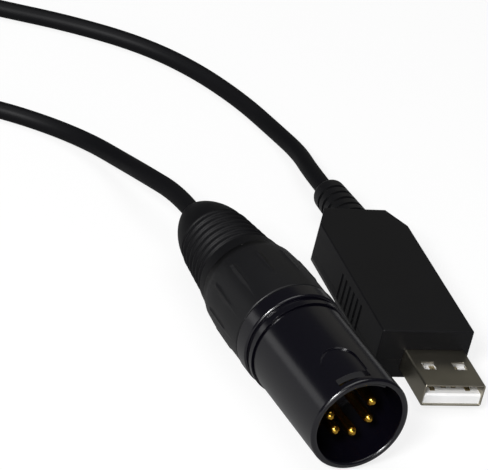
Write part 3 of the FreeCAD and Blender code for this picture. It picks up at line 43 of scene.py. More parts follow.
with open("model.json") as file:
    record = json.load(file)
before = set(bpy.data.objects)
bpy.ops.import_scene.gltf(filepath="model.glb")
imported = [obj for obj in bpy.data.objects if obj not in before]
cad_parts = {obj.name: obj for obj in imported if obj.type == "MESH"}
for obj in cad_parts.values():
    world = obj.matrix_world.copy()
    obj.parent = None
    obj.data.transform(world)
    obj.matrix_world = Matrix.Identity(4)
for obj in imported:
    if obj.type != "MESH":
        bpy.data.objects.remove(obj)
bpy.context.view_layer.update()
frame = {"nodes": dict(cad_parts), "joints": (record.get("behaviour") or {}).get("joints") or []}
MM = 0.001

# The round connector's axis, which lies a little off the row's Y axis
BOOT_JOINT = next(joint for joint in frame["joints"] if joint["name"] == "boot_turn")
BOOT_AXIS = Vector(BOOT_JOINT["axis"]).normalized()
BOOT_PLACE = Vector(BOOT_JOINT["pos_m"])

# The photograph's camera, solved from sizes that are known: lengths in pixels, then its stand
PHOTO_FOCAL = 3500
PHOTO_WIDTH = 488
SENSOR_WIDTH = 36
CAMERA_PLACE = Vector((-248.126, -498.537, 327.544)) * MM
CAMERA_TURN = math.radians(-24.665)
CAMERA_LIFT = math.radians(29.170)
CAMERA_ROLL = math.radians(14.310)

# Each lamp's place, what it faces, its width and height in metres, and its colour
LAMPS = {
    "key": ((-0.72, -0.76, 0.76), (0.0, 0.0, 0.0), 0.3, 0.3, "ffffff"),
    "fill": ((-0.3, -1.3, 0.35), (0.0, 0.0, 0.0), 0.8, 0.5, "ffffff"),
    "top": ((-0.1, 0.0, 1.5), (0.0, 0.05, 0.0), 1.2, 1.2, "ffffff"),
    "warm_card": ((0.34, 0.72, 0.38), (0.0, 0.0, 0.01), 0.45, 0.45, "fffbe7"),
    "low_card": ((-0.74, 0.6, 0.11), (0.0, 0.0, 0.01), 0.32, 0.2, "ffffff"),
}
PAPER_WIDTH = 6.0
PAPER_GAP = 0.1 * MM

# What counts as one point, as one flat face and as a hard edge where edges are rounded
WELD_GAP = 0.0005 * MM
FLAT_ANGLE = math.radians(0.5)
HARD_ANGLE = math.radians(35)
EDGE_SEGMENTS = 3
EVEN_WEIGHT = 60

# The slow drift of a finish: patches in each metre, and how far plastic's gloss goes each way
PLASTIC_DRIFT = 90.0
METAL_DRIFT = 150.0
GLOSS_SPREAD = 0.05


class CableSizes(bpy.types.PropertyGroup):
    """The cable between the plug's housing and the round connector."""
    diameter: bpy.props.FloatProperty(
        name="Diameter", description="Across the jacket", default=3.5 * MM, unit="LENGTH")
    length: bpy.props.FloatProperty(
        name="Length", description="From strain relief to boot", default=1.81, unit="LENGTH")
    coil_radius: bpy.props.FloatProperty(
        name="Coil radius", description="Outermost turn that touches its neighbour",
        default=25.5 * MM, unit="LENGTH")
    coil_step: bpy.props.FloatProperty(
        name="Coil step", description="Between turns and between layers",
        default=4.0 * MM, unit="LENGTH")
    turns_a_layer: bpy.props.IntProperty(
        name="Turns a layer", description="Turns from the rim to the inside", default=3)
    points_a_turn: bpy.props.IntProperty(
        name="Points a turn", description="Control points on each turn", default=24)


class EdgeSizes(bpy.types.PropertyGroup):
    """How far the solids' hard edges are rounded."""
    plug: bpy.props.FloatProperty(
        name="Plug", description="Edges of the plug's sheet metal",
        default=0.1 * MM, unit="LENGTH")
    housing: bpy.props.FloatProperty(
        name="Housing", description="Edges of the slim housing's halves",
        default=0.22 * MM, unit="LENGTH")
    barrel: bpy.props.FloatProperty(
        name="Barrel", description="Edges of the round connector's shell",
        default=0.18 * MM, unit="LENGTH")
    neck: bpy.props.FloatProperty(
        name="Neck", description="Edges at the front end of the nut's neck",
        default=0.2 * MM, unit="LENGTH")
    neck_ahead: bpy.props.FloatProperty(
        name="Neck's end", description="The neck's end lies further than this before the joint",
        default=15.6 * MM, unit="LENGTH")


class ThreadSizes(bpy.types.PropertyGroup):
    """The thread on the nut's neck."""
    radius: bpy.props.FloatProperty(
        name="Radius", description="Middle of the ridge", default=8.2 * MM, unit="LENGTH")
    pitch: bpy.props.FloatProperty(
        name="Pitch", description="Along the axis for each turn", default=1.0 * MM, unit="LENGTH")
    turns: bpy.props.FloatProperty(
        name="Turns", description="Turns of the ridge", default=5.2)
    depth: bpy.props.FloatProperty(
        name="Depth", description="Ridge above the neck", default=0.1 * MM, unit="LENGTH")
    ahead: bpy.props.FloatProperty(
        name="Ahead", description="From the thread's front end to the boot joint",
        default=16.6 * MM, unit="LENGTH")


class SolderSizes(bpy.types.PropertyGroup):
    """The solder that holds the cable's wires on the board."""
    joints: bpy.props.IntProperty(
        name="Joints", description="One for each wire", default=3)
    pitch: bpy.props.FloatProperty(
        name="Pitch", description="Between wires", default=2.0 * MM, unit="LENGTH")
    radius: bpy.props.FloatProperty(
        name="Radius", description="Half a drop's width", default=0.55 * MM, unit="LENGTH")
    inward: bpy.props.FloatProperty(
        name="Inward", description="Behind the wires' ends", default=0.5 * MM, unit="LENGTH")
    lift: bpy.props.FloatProperty(
        name="Lift", description="A drop's middle above the board",
        default=0.32 * MM, unit="LENGTH")


class Finishes(bpy.types.PropertyGroup):
    """Colours of the plastics and metals that the photograph shows."""
    housing: bpy.props.StringProperty(
        name="Housing", description="Moulded ABS of the slim housing", default="0e0e10")
    relief: bpy.props.StringProperty(
        name="Strain relief", description="PVC moulded over the cable", default="0d0d0f")
    jacket: bpy.props.StringProperty(
        name="Jacket", description="PVC of the cable", default="0f0f11")
    barrel: bpy.props.StringProperty(
        name="Barrel", description="Black finish of the round connector", default="06050c")
    nut: bpy.props.StringProperty(
        name="Boot nut", description="Moulded polyamide of the screwed nut", default="111113")
    boot: bpy.props.StringProperty(
        name="Boot", description="Soft plastic of the bend relief", default="0e0e10")
    gold: bpy.props.StringProperty(
        name="Contacts", description="Thin gold over nickel", default="d8a842")
    plug_metal: bpy.props.StringProperty(
        name="Plug metal", description="Nickel on drawn steel", default="b4ae9f")
    carrier: bpy.props.StringProperty(
        name="Carrier", description="White PBT under the plug's contacts", default="fafaf8")


class StudioSizes(bpy.types.PropertyGroup):
    """Camera and light."""
    lens: bpy.props.FloatProperty(
        name="Lens", description="Focal length in millimetres",
        default=PHOTO_FOCAL / PHOTO_WIDTH * SENSOR_WIDTH)
    key: bpy.props.FloatProperty(
        name="Key light", description="Power of the small lamp near the camera",
        default=16.0, unit="POWER")
    fill: bpy.props.FloatProperty(
        name="Front fill", description="Power of the large lamp in front",
        default=4.5, unit="POWER")
    top: bpy.props.FloatProperty(
        name="Top light", description="Power of the large lamp overhead",
        default=7.0, unit="POWER")
    warm_card: bpy.props.FloatProperty(
        name="Warm card", description="Power of the pale card at the back right",
        default=0.068, unit="POWER")
    low_card: bpy.props.FloatProperty(
        name="Low card", description="Power of the low white card at the back left",
        default=0.15, unit="POWER")
    sky: bpy.props.FloatProperty(
        name="Sky", description="Strength of the even light", default=0.06)
    paper_glow: bpy.props.FloatProperty(
        name="Paper glow", description="What makes the paper plain white to the camera",
        default=0.8)
    paper_gleam: bpy.props.FloatProperty(
        name="Paper in gloss", description="The same as glossy pieces show it", default=0.1)


def linear(text):
    """A hex colour as linear light."""
    out = []
    for i in (0, 2, 4):
        c = int(text[i:i + 2], 16) / 255
        out.append(c / 12.92 if c <= 0.04045 else ((c + 0.055) / 1.055) ** 2.4)
    return (*out, 1.0)


def shaded(text, share):
    """A hex colour made lighter or darker by a share."""
    return "".join("%02x" % max(0, min(255, round(int(text[i:i + 2], 16) * share)))
                   for i in (0, 2, 4))


def add(tree, kind, links=None, **settings):
    """Add a node with its settings, and set or link its inputs."""
    node = tree.nodes.new(kind)
    for key, value in settings.items():
        setattr(node, key, value)
    for name, source in (links or {}).items():
        if isinstance(source, bpy.types.NodeSocket):
            tree.links.new(source, node.inputs[name])
        else:
            node.inputs[name].default_value = source
    return node


def started(name):
    """A new material with an empty tree, its shader and its place on the piece."""
    material = bpy.data.materials.new(name)
    material.use_nodes = True
    tree = material.node_tree
    tree.nodes.clear()
    shader = add(tree, "ShaderNodeBsdfPrincipled")
    add(tree, "ShaderNodeOutputMaterial", {"Surface": shader.outputs["BSDF"]})
    place = add(tree, "ShaderNodeTexCoord").outputs["Object"]
    return material, tree, shader, place


def noise(tree, place, scale, detail, **more):
    """A noise pattern's factor."""
    node = add(tree, "ShaderNodeTexNoise", {
        "Vector": place, "Scale": scale, "Detail": detail, **more})
    return node.outputs["Fac"]


def coloured(tree, shader, factor, stops):
    """Let the base colour follow a factor through (position, hex colour) stops."""
    node = add(tree, "ShaderNodeValToRGB", {"Fac": factor})
    for element, (at, text) in zip(node.color_ramp.elements, stops):
        element.position = at
        element.color = linear(text)
    tree.links.new(node.outputs["Color"], shader.inputs["Base Color"])


def glossed(tree, shader, factor, low, high):
    """Let the roughness follow a factor from low to high."""
    node = add(tree, "ShaderNodeMapRange", {"Value": factor, "To Min": low, "To Max": high})
    tree.links.new(node.outputs["Result"], shader.inputs["Roughness"])


def raised(tree, shader, factor, depth_mm, strength=1.0):
    """Let the surface rise and fall with a factor."""
    node = add(tree, "ShaderNodeBump", {
        "Height": factor, "Distance": depth_mm * MM, "Strength": strength})
    tree.links.new(node.outputs["Normal"], shader.inputs["Normal"])


def grained(name, text, size_mm, depth_mm, rough, gleam=0.5):
    """Moulded plastic: a fine tool texture, and a slow drift of its gloss and colour."""
    material, tree, shader, place = started(name)
    fine = noise(tree, place, scale=1 / (size_mm * MM), detail=2.0, Roughness=0.6)
    slow = noise(tree, place, scale=PLASTIC_DRIFT, detail=3.0)
    coloured(tree, shader, slow, [(0.3, shaded(text, 0.93)), (0.7, shaded(text, 1.07))])
    glossed(tree, shader, slow, rough - GLOSS_SPREAD, rough + GLOSS_SPREAD)
    raised(tree, shader, fine, depth_mm)
    shader.inputs["Specular IOR Level"].default_value = gleam
    return material


def metal(name, text, rough, spread, grain_mm, stretch=(1.0, 1.0, 1.0)):
    """Bare or plated metal: brushed or drawn marks, longer along one axis."""
    material, tree, shader, place = started(name)
    marks = add(tree, "ShaderNodeMapping", {"Vector": place, "Scale": stretch})
    fine = noise(tree, marks.outputs["Vector"], scale=1 / (grain_mm * MM), detail=2.0)
    slow = noise(tree, place, scale=METAL_DRIFT, detail=2.0)
    coloured(tree, shader, slow, [(0.3, shaded(text, 0.94)), (0.7, shaded(text, 1.04))])
    glossed(tree, shader, fine, rough - spread, rough + spread)
    raised(tree, shader, fine, depth_mm=0.002, strength=0.6)
    shader.inputs["Metallic"].default_value = 1.0
    return material


def dress(node, material):
    """Give a solid of the frame its finish."""
    thing = frame["nodes"][node]
    if not thing.data.materials:
        thing.data.materials.append(material)
    for place in thing.material_slots:
        place.material = material


def softened(node, material, body, width, wanted=lambda place: True):
    """Stand a copy of a solid in for it, with its wanted hard edges rounded a little."""
    mesh = frame["nodes"][node].data.copy()
    mesh.name = node + "_softened"
    shape = bmesh.new()
    shape.from_mesh(mesh)
    bmesh.ops.remove_doubles(shape, verts=shape.verts, dist=WELD_GAP)
    bmesh.ops.dissolve_limit(shape, angle_limit=FLAT_ANGLE, verts=shape.verts, edges=shape.edges)
    weight = shape.edges.layers.float.new("bevel_weight_edge")
    for line in shape.edges:
        hard = line.is_manifold and line.calc_face_angle() > HARD_ANGLE
        line[weight] = 1.0 if hard and wanted((line.verts[0].co + line.verts[1].co) / 2) else 0.0
    for face in shape.faces:
        face.smooth = True
    shape.to_mesh(mesh)
    shape.free()
    piece = bpy.data.objects.new(mesh.name, mesh)
    bpy.context.scene.collection.objects.link(piece)
    mesh.materials.clear()
    mesh.materials.append(material)
    edge = piece.modifiers.new("rounded edges", "BEVEL")
    edge.width = width
    edge.segments = EDGE_SEGMENTS
    edge.limit_method = "WEIGHT"
    edge.use_clamp_overlap = True
    even = piece.modifiers.new("even shading", "WEIGHTED_NORMAL")
    even.mode = "FACE_AREA_WITH_ANGLE"
    even.weight = EVEN_WEIGHT
    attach(piece, body)
    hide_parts(node)


class BuildUsbPlug(bpy.types.Operator):
    """Finish the plug's metal, its carrier and its contacts"""
    bl_idname = "dmx_cable.usb_plug"
    bl_label = "USB plug"

    def execute(self, context):
        looks = context.scene.dmx_finishes
        # Nickel on deep-drawn steel: a soft satin mirror with faint marks along the draw.
        nickel = metal("nickel_plated_steel", looks.plug_metal, rough=0.32, spread=0.03,
                       grain_mm=0.12, stretch=(1.0, 0.08, 1.0))
        softened("usb_metal_shell", nickel, "base", context.scene.dmx_edges.plug)
        # PBT moulded white: an even, slightly waxy surface.
        dress("usb_tongue", grained("white_PBT", looks.carrier,
                                    size_mm=0.3, depth_mm=0.002, rough=0.42))
        # A thin gold flash: the pale nickel below still shows through it.
        flash = metal("gold_flash_on_nickel", "b5a98c", rough=0.24, spread=0.05,
                      grain_mm=0.2, stretch=(1.0, 0.2, 1.0))
        for number in (1, 2, 3, 4):
            dress("usb_contact_%d" % number, flash)
        return {"FINISHED"}


class BuildHousing(bpy.types.Operator):
    """Finish the slim housing and its strain relief"""
    bl_idname = "dmx_cable.housing"
    bl_label = "Housing"

    def execute(self, context):
        looks = context.scene.dmx_finishes
        # ABS from a spark-eroded tool: a fine even grain with a low satin sheen.
        abs_black = grained("ABS_spark_eroded", looks.housing,
                            size_mm=0.35, depth_mm=0.012, rough=0.42, gleam=0.25)
        for node in ("usb_lower_shell", "usb_upper_shell"):
            softened(node, abs_black, "base", context.scene.dmx_edges.housing)
        # PVC moulded over the cable: smoother than the housing, with a fuller sheen.
        dress("usb_strain_relief", grained("PVC_moulded_relief", looks.relief,
                                           size_mm=0.5, depth_mm=0.006, rough=0.4, gleam=0.4))
        return {"FINISHED"}


class BuildBoard(bpy.types.Operator):
    """Finish the converter board and what is soldered to it"""
    bl_idname = "dmx_cable.board"
    bl_label = "Converter board"

    def execute(self, context):
        # Glass epoxy under green lacquer: weave shows faintly through a glossy coat.
        material, tree, shader, place = started("green_lacquered_laminate")
        weave = add(tree, "ShaderNodeTexChecker", {"Vector": place, "Scale": 1 / (0.35 * MM)})
        coloured(tree, shader, weave.outputs["Fac"], [(0.0, "0b3f20"), (1.0, "0d4726")])
        shader.inputs["Roughness"].default_value = 0.3
        shader.inputs["Coat Weight"].default_value = 0.6
        dress("circuit_board", material)
        # Epoxy moulding compound: dull dark grey with a sandy grain.
        epoxy = grained("epoxy_moulding_compound", "1b1b1d",
                        size_mm=0.12, depth_mm=0.006, rough=0.6)
        dress("converter_chip", epoxy)
        dress("line_driver_chip", epoxy)
        # Tin on copper: a soft greyish metal.
        tin = metal("tinned_copper", "c2c4c6", rough=0.34, spread=0.08, grain_mm=0.1)
        dress("converter_chip_leads", tin)
        dress("line_driver_leads", tin)
        # Nickel silver drawn into a can: pale, with marks along it.
        dress("clock_crystal", metal("drawn_nickel_silver", "c9c9c6", rough=0.26, spread=0.06,
                                     grain_mm=0.1, stretch=(1.0, 0.1, 1.0)))
        # Aluminium under a clear lacquer: cool grey, with upright marks.
        dress("bulk_capacitor", metal("lacquered_aluminium_can", "8f959e", rough=0.3,
                                      spread=0.06, grain_mm=0.2, stretch=(1.0, 1.0, 0.1)))
        # Fired ceramic: matt brown with a fine speckle.
        dress("small_parts", grained("fired_ceramic", "7d5f42",
                                     size_mm=0.08, depth_mm=0.004, rough=0.62))
        # PVC insulation on the cable's cores: plain red, half glossy.
        dress("usb_wires", grained("PVC_core_insulation", "8b1d18",
                                   size_mm=0.3, depth_mm=0.002, rough=0.4))
        return {"FINISHED"}


class BuildConnector(bpy.types.Operator):
    """Finish the round connector's shell, insert, pins and wires"""
    bl_idname = "dmx_cable.connector"
    bl_label = "Round connector"

    def execute(self, context):
        looks = context.scene.dmx_finishes
        # Zinc die casting under black lacquer: satin gloss, with a faint orange peel.
        material, tree, shader, place = started("black_lacquered_zinc")
        peel = noise(tree, place, scale=1 / (1.6 * MM), detail=1.0)
        wear = noise(tree, place, scale=1 / (0.4 * MM), detail=3.0)
        coloured(tree, shader, wear, [(0.3, shaded(looks.barrel, 0.9)),
                                      (0.75, shaded(looks.barrel, 1.15))])
        glossed(tree, shader, wear, low=0.17, high=0.23)
        raised(tree, shader, peel, depth_mm=0.006)
        shader.inputs["Specular IOR Level"].default_value = 0.8
        softened("xlr_shell", material, "base", context.scene.dmx_edges.barrel)
        # Glass-filled polyamide: dark blue-black, satin.
        dress("xlr_insert", grained("glass_filled_polyamide", "0b0b12",
                                    size_mm=0.25, depth_mm=0.004, rough=0.4))
        # Gold over nickel on turned brass: warm, with bright round tips.
        gold = metal("gold_plated_brass", looks.gold, rough=0.2, spread=0.05, grain_mm=0.15)
        for number in (1, 2, 3, 4, 5):
            dress("xlr_pin_%d" % number, gold)
        dress("xlr_ground_spring", gold)
        # PVC insulation again: plain grey, half glossy.
        dress("xlr_wires", grained("PVC_core_insulation_grey", "9a9a9c",
                                   size_mm=0.3, depth_mm=0.002, rough=0.4))
        # Acetal: milky dark grey, slippery.
        dress("xlr_chuck", grained("acetal_chuck", "26262a",
                                   size_mm=0.3, depth_mm=0.002, rough=0.38))
        return {"FINISHED"}


class BuildBoot(bpy.types.Operator):
    """Finish the screwed nut and its boot"""
    bl_idname = "dmx_cable.boot"
    bl_label = "Boot"

    def execute(self, context):
        looks = context.scene.dmx_finishes
        edges = context.scene.dmx_edges
        # Moulded polyamide: satin, with a slow drift of its gloss. The thread takes it too.
        polyamide = grained("moulded_polyamide", looks.nut,
                            size_mm=0.4, depth_mm=0.01, rough=0.42, gleam=0.4)
        dress("xlr_boot_nut", polyamide)
        # Only the front end of the neck is rounded, so the low ribs stay crisp.
        softened("xlr_boot_nut", polyamide, "boot", edges.neck,
                 lambda place: (place - BOOT_PLACE).dot(BOOT_AXIS) < -edges.neck_ahead)
        # Thermoplastic rubber moulded onto the nut: matt.
        dress("xlr_boot_sleeve", grained("thermoplastic_rubber", looks.boot,
                                         size_mm=0.3, depth_mm=0.012, rough=0.5, gleam=0.17))
        return {"FINISHED"}


# The cable's route, in millimetres: its ends as the solids have them, the places that it passes,
# and how far it runs straight out of each end and of the coil
RELIEF_TIP = Vector((15.9957, 43.9721, 4.8105))
RELIEF_WAY = Vector((-0.07142, 0.99641, -0.04536))
BOOT_TIP = Vector((-18.4171, 25.4093, 9.95))
USB_SIDE = [
    (16.54, 61.93, 2.9),
    (15.14, 72.03, 1.75),
    (11.34, 84.43, 1.75),
    (4.64, 97.13, 1.75),
    (-4.46, 106.73, 1.75),
    (-17.76, 114.03, 1.75),
    (-31.36, 118.93, 1.75),
    (-45.06, 124.33, 1.75),
]
CONNECTOR_SIDE = [
    (-22.85, 42.1, 8.3),
    (-24.05, 52.2, 5.2),
    (-27.3, 63.0, 2.9),
    (-33.96, 71.53, 1.75),
    (-43.96, 77.43, 1.75),
    (-54.76, 79.93, 1.75),
]
RELIEF_LEAD = 8.4
BOOT_LEAD = 7.0
COIL_LEAD_IN = 12.5
COIL_LEAD_OUT = 10.0

# The coil's middle, where its first turn starts, and its layers, wound in, out, in and out
COIL_MIDDLE = (-75.56, 108.83)
COIL_ENTRY = math.radians(85)
COIL_LAYERS = 4
# In turns: how long the cable takes to climb, or to come off the last layer's side
HALF_TURN = 0.5
# In turns: how near to a layer's end the cable eases over to the next layer
REVERSAL = 0.25
# In steps between turns: how far outside the rim the last half turn ends
LAST_TURN_SHARE = 1.05
# In turns: how far apart two places are that give the cable's direction
A_LITTLE = 1e-4


def eased(part):
    """How far a move has come that starts and stops gently."""
    part = min(max(part, 0.0), 1.0)
    return part * part * (3 - 2 * part)


def coil_point(sizes, turns):
    """The cable's middle after a number of turns: radius, angle and place in millimetres."""
    step = sizes.coil_step / MM
    outer = sizes.coil_radius / MM
    layer = sizes.turns_a_layer
    inner = outer - step * layer
    last = COIL_LAYERS * layer
    if turns > last - HALF_TURN:
        part = min((turns - last + HALF_TURN) / HALF_TURN, 1.0)
        start = inner + step * (layer - HALF_TURN)
        end = outer + LAST_TURN_SHARE * step
        # It starts out as steeply as the layer goes out, and ends along the rim.
        onward = HALF_TURN * step * part * (1 - part) ** 2
        reach = start + (end - start) * eased(part) + onward
    else:
        nearest = round(turns / layer)
        away = abs(turns - nearest * layer)
        if nearest > 0 and away < REVERSAL:
            away = away * away / (2 * REVERSAL) + REVERSAL / 2
        reach = outer - step * away if nearest % 2 == 0 else inner + step * away
    angle = COIL_ENTRY + 2 * math.pi * turns
    climbed = sum(eased((turns - layer * k) / HALF_TURN + 0.5) for k in range(1, COIL_LAYERS))
    fallen = (COIL_LAYERS - 1) * eased((turns - last) / HALF_TURN)
    on_floor = sizes.diameter / MM / 2
    return reach, angle, Vector((COIL_MIDDLE[0] + reach * math.cos(angle),
                                 COIL_MIDDLE[1] + reach * math.sin(angle),
                                 on_floor + step * (climbed - fallen)))


def cable_points(sizes):
    """The control points of the cable, from the strain relief over the coil to the boot."""
    turns = COIL_LAYERS * sizes.turns_a_layer + HALF_TURN
    count = int(turns * sizes.points_a_turn)
    first = coil_point(sizes, 0.0)[2]
    last = coil_point(sizes, turns)[2]
    way_in = (coil_point(sizes, A_LITTLE)[2] - first).normalized()
    way_out = (last - coil_point(sizes, turns - A_LITTLE)[2]).normalized()
    straight = sizes.diameter / MM
    points = [RELIEF_TIP, RELIEF_TIP + RELIEF_WAY * RELIEF_LEAD]
    points += [Vector(p) for p in USB_SIDE]
    points += [first - way_in * (straight + COIL_LEAD_IN), first - way_in * straight]
    # A spline of order 3 runs inside its points, so the turns' points stand out by that.
    outward = 1 / math.cos(math.pi / sizes.points_a_turn) - 1
    for k in range(count + 1):
        reach, angle, place = coil_point(sizes, turns * k / count)
        points.append(place + Vector((math.cos(angle), math.sin(angle), 0)) * reach * outward)
    points += [last + way_out * straight, last + way_out * (straight + COIL_LEAD_OUT)]
    points += [Vector(p) for p in reversed(CONNECTOR_SIDE)]
    # The boot slides back over this last stretch, so it is straight.
    points += [BOOT_TIP + BOOT_AXIS * BOOT_LEAD, BOOT_TIP]
    return points


class BuildCable(bpy.types.Operator):
    """Lay the cable from the strain relief over its coil to the boot"""
    bl_idname = "dmx_cable.cable"
    bl_label = "Cable"

    def execute(self, context):
        sizes = context.scene.dmx_cable
        # PVC extruded over the cores: smooth and satin, with a slow drift of its gloss.
        jacket = grained("PVC_extruded_jacket", context.scene.dmx_finishes.jacket,
                         size_mm=0.6, depth_mm=0.008, rough=0.48, gleam=0.12)
        points = cable_points(sizes)
        curve = bpy.data.curves.new("cable", "CURVE")
        curve.dimensions = "3D"
        spline = curve.splines.new("NURBS")
        spline.points.add(len(points) - 1)
        for point, place in zip(spline.points, points):
            point.co = (*(place * MM), 1.0)
        spline.order_u = 3
        spline.use_endpoint_u = True
        spline.resolution_u = 8
        curve.bevel_depth = sizes.diameter / 2
        curve.bevel_resolution = 6
        curve.use_fill_caps = True
        curve.materials.append(jacket)
        cable = bpy.data.objects.new("cable", curve)
        context.scene.collection.objects.link(cable)
        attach(cable, "base")
        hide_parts("cable_usb_stretch", "cable_coil", "cable_xlr_stretch")
        for node in ("usb_cable_end", "xlr_cable_end"):
            dress(node, jacket)
        return {"FINISHED"}


def new_tree(name, inputs):
    """A Geometry Nodes tree with named number inputs, and the sockets that give them."""
    tree = bpy.data.node_groups.new(name, "GeometryNodeTree")
    tree.interface.new_socket("Geometry", in_out="INPUT", socket_type="NodeSocketGeometry")
    tree.interface.new_socket("Geometry", in_out="OUTPUT", socket_type="NodeSocketGeometry")
    for label, value in inputs.items():
        kind = "NodeSocketInt" if isinstance(value, int) else "NodeSocketFloat"
        item = tree.interface.new_socket(label, in_out="INPUT", socket_type=kind)
        item.default_value = value
    return tree, add(tree, "NodeGroupInput").outputs


def finished_mesh(name, tree, geometry, material, body):
    """Run a Geometry Nodes tree on an empty mesh, and keep the result as a plain mesh."""
    coat = add(tree, "GeometryNodeSetMaterial", {"Geometry": geometry, "Material": material})
    add(tree, "NodeGroupOutput", {"Geometry": coat.outputs["Geometry"]})
    carrier = bpy.data.objects.new(name + "_carrier", bpy.data.meshes.new(name + "_carrier"))
    bpy.context.scene.collection.objects.link(carrier)
    modifier = carrier.modifiers.new("tree", "NODES")
    modifier.node_group = tree
    for item in tree.interface.items_tree:
        if item.in_out == "INPUT" and item.socket_type != "NodeSocketGeometry":
            modifier[item.identifier] = item.default_value
    ready = carrier.evaluated_get(bpy.context.evaluated_depsgraph_get())
    mesh = bpy.data.meshes.new_from_object(ready)
    mesh.name = name
    bpy.data.objects.remove(carrier)
    piece = bpy.data.objects.new(name, mesh)
    bpy.context.scene.collection.objects.link(piece)
    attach(piece, body)
    return piece


class BuildThread(bpy.types.Operator):
    """Wind the thread that screws the boot nut into the connector's shell"""
    bl_idname = "dmx_cable.thread"
    bl_label = "Boot thread"

    def execute(self, context):
        sizes = context.scene.dmx_thread
        tree, given = new_tree("thread_tree", {
            "Radius": sizes.radius, "Pitch": sizes.pitch, "Turns": sizes.turns,
            "Depth": sizes.depth})
        rise = add(tree, "ShaderNodeMath", {0: given["Pitch"], 1: given["Turns"]},
                   operation="MULTIPLY")
        spiral = add(tree, "GeometryNodeCurveSpiral", {
            "Resolution": 48, "Rotations": given["Turns"], "Start Radius": given["Radius"],
            "End Radius": given["Radius"], "Height": rise.outputs[0]})
        ridge = add(tree, "GeometryNodeCurvePrimitiveCircle", {
            "Resolution": 6, "Radius": given["Depth"]})
        tube = add(tree, "GeometryNodeCurveToMesh", {
            "Curve": spiral.outputs["Curve"], "Profile Curve": ridge.outputs["Curve"],
            "Fill Caps": True})
        nut = frame["nodes"]["xlr_boot_nut"].material_slots[0].material
        piece = finished_mesh("boot_nut_thread", tree, tube.outputs["Mesh"], nut, "boot")
        # The spiral stands on Z, so it is turned to the boot's axis, in front of the nut.
        turn = BOOT_AXIS.to_track_quat("Z", "Y").to_matrix().to_4x4()
        start = BOOT_PLACE - BOOT_AXIS * sizes.ahead
        piece.data.transform(Matrix.Translation(start) @ turn)
        return {"FINISHED"}


class BuildSolder(bpy.types.Operator):
    """Put solder on the wires' ends on the board"""
    bl_idname = "dmx_cable.solder"
    bl_label = "Solder joints"

    def execute(self, context):
        sizes = context.scene.dmx_solder
        # Lead-free solder: bright, slightly rippled where it set.
        solder = metal("lead_free_solder", "c9cacb", rough=0.22, spread=0.08, grain_mm=0.2)
        tree, given = new_tree("solder_tree", {
            "Joints": sizes.joints, "Pitch": sizes.pitch, "Radius": sizes.radius})
        row = add(tree, "GeometryNodeMeshLine", {"Count": given["Joints"]})
        step = add(tree, "ShaderNodeCombineXYZ", {"X": given["Pitch"]})
        tree.links.new(step.outputs["Vector"], row.inputs["Offset"])
        drop = add(tree, "GeometryNodeMeshUVSphere", {
            "Segments": 20, "Rings": 12, "Radius": given["Radius"]})
        # Each drop is long along its wire, and low.
        drops = add(tree, "GeometryNodeInstanceOnPoints", {
            "Points": row.outputs["Mesh"], "Instance": drop.outputs["Mesh"],
            "Scale": (1.0, 1.5, 0.75)})
        real = add(tree, "GeometryNodeRealizeInstances", {"Geometry": drops.outputs["Instances"]})
        pads = finished_mesh("board_wire_solder", tree, real.outputs["Geometry"], solder,
                             "base")
        low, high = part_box("usb_wires")
        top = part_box("circuit_board")[1].z
        half_row = sizes.pitch * (sizes.joints - 1) / 2
        pads.data.transform(Matrix.Translation(
            ((low.x + high.x) / 2 - half_row, low.y + sizes.inward, top + sizes.lift)))
        return {"FINISHED"}


def lay_paper(sizes):
    """Lay the floor of white paper."""
    # Matt paper: plain white to the camera, fainter in glossy pieces, with the real shadow.
    material, tree, shader = started("white_paper_sweep")[:3]
    shader.inputs["Base Color"].default_value = linear("808080")
    shader.inputs["Roughness"].default_value = 0.9
    shader.inputs["Specular IOR Level"].default_value = 0.1
    rays = add(tree, "ShaderNodeLightPath")
    seen = add(tree, "ShaderNodeMath", {
        0: rays.outputs["Is Camera Ray"], 1: rays.outputs["Is Transmission Ray"]},
        operation="MAXIMUM")
    plain = add(tree, "ShaderNodeMath", {0: seen.outputs[0], 1: sizes.paper_glow},
                operation="MULTIPLY")
    gloss = add(tree, "ShaderNodeMath", {0: rays.outputs["Is Glossy Ray"],
                                         1: sizes.paper_gleam}, operation="MULTIPLY")
    glow = add(tree, "ShaderNodeMath", {0: plain.outputs[0], 1: gloss.outputs[0]},
               operation="ADD")
    shader.inputs["Emission Color"].default_value = (1, 1, 1, 1)
    tree.links.new(glow.outputs[0], shader.inputs["Emission Strength"])
    bpy.ops.mesh.primitive_plane_add(size=PAPER_WIDTH, location=(0, 0, -PAPER_GAP))
    floor = bpy.context.active_object
    floor.name = "floor"
    floor.data.materials.append(material)


def light_sky(scene, sizes):
    """Give a little even light from a sky that the camera sees as nearly white."""
    world = bpy.data.worlds.new("studio")
    scene.world = world
    world.use_nodes = True
    tree = world.node_tree
    back = tree.nodes["Background"]
    back.inputs["Color"].default_value = linear("f2f4f8")
    rays = add(tree, "ShaderNodeLightPath")
    level = add(tree, "ShaderNodeMath", {0: rays.outputs["Is Camera Ray"], 1: sizes.sky},
                operation="MAXIMUM")
    tree.links.new(level.outputs[0], back.inputs["Strength"])


def hang_lamps(scene, sizes):
    """Hang each lamp, turned to what it faces."""
    for name, (place, aim, wide, tall, text) in LAMPS.items():
        lamp = bpy.data.lights.new(name, "AREA")
        lamp.shape = "RECTANGLE"
        lamp.size = wide
        lamp.size_y = tall
        lamp.energy = getattr(sizes, name)
        lamp.color = linear(text)[:3]
        thing = bpy.data.objects.new(name, lamp)
        thing.location = place
        way = Vector(aim) - Vector(place)
        thing.rotation_euler = way.to_track_quat("-Z", "Y").to_euler()
        scene.collection.objects.link(thing)


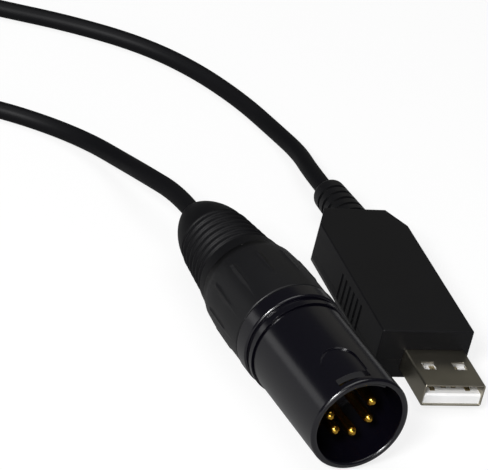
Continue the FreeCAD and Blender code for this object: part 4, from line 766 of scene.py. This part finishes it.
def stand_camera(scene, sizes):
    """Stand the camera where the photograph's stood."""
    camera = bpy.data.cameras.new("camera")
    camera.sensor_fit = "HORIZONTAL"
    camera.sensor_width = SENSOR_WIDTH
    camera.lens = sizes.lens
    camera.clip_start = 0.05
    camera.clip_end = 10
    back_way = Vector((math.sin(CAMERA_TURN) * math.cos(CAMERA_LIFT),
                       -math.cos(CAMERA_TURN) * math.cos(CAMERA_LIFT), math.sin(CAMERA_LIFT)))
    right = (-back_way).cross(Vector((0, 0, 1))).normalized()
    up = right.cross(-back_way)
    across = math.cos(CAMERA_ROLL) * right + math.sin(CAMERA_ROLL) * up
    above = -math.sin(CAMERA_ROLL) * right + math.cos(CAMERA_ROLL) * up
    thing = bpy.data.objects.new("camera", camera)
    thing.matrix_world = Matrix.Translation(CAMERA_PLACE) @ Matrix(
        (across, above, back_way)).transposed().to_4x4()
    scene.collection.objects.link(thing)
    scene.camera = thing


class BuildStudio(bpy.types.Operator):
    """Set the floor, the lamps and the camera"""
    bl_idname = "dmx_cable.studio"
    bl_label = "Studio"

    def execute(self, context):
        scene = context.scene
        sizes = scene.dmx_studio
        lay_paper(sizes)
        light_sky(scene, sizes)
        hang_lamps(scene, sizes)
        stand_camera(scene, sizes)
        scene.view_settings.view_transform = "Standard"
        return {"FINISHED"}


class CablePanel(bpy.types.Panel):
    """Lists the pieces of the cable"""
    bl_label = "DMX cable"
    bl_idname = "VIEW3D_PT_dmx_cable"
    bl_space_type = "VIEW_3D"
    bl_region_type = "UI"
    bl_category = "DMX cable"

    def draw(self, context):
        for step in STEPS:
            self.layout.operator(step.bl_idname)


STEPS = (BuildStudio, BuildCable, BuildUsbPlug, BuildHousing, BuildBoard, BuildConnector,
         BuildBoot, BuildThread, BuildSolder)
GROUPS = {
    "dmx_cable": CableSizes,
    "dmx_edges": EdgeSizes,
    "dmx_thread": ThreadSizes,
    "dmx_solder": SolderSizes,
    "dmx_finishes": Finishes,
    "dmx_studio": StudioSizes,
}


def register():
    """Register the classes, and put their sizes on the scene."""
    for group in GROUPS.values():
        bpy.utils.register_class(group)
    for step in STEPS:
        bpy.utils.register_class(step)
    bpy.utils.register_class(CablePanel)
    for name, group in GROUPS.items():
        setattr(bpy.types.Scene, name, bpy.props.PointerProperty(type=group))


def unregister():
    """Take the sizes off the scene again, and the classes away."""
    for name in GROUPS:
        delattr(bpy.types.Scene, name)
    bpy.utils.unregister_class(CablePanel)
    for step in reversed(STEPS):
        bpy.utils.unregister_class(step)
    for group in GROUPS.values():
        bpy.utils.unregister_class(group)


def main():
    """Build everything in order."""
    register()
    for step in STEPS:
        group, name = step.bl_idname.split(".")
        getattr(getattr(bpy.ops, group), name)()
    bpy.context.view_layer.update()


if __name__ == "__main__":
    main()
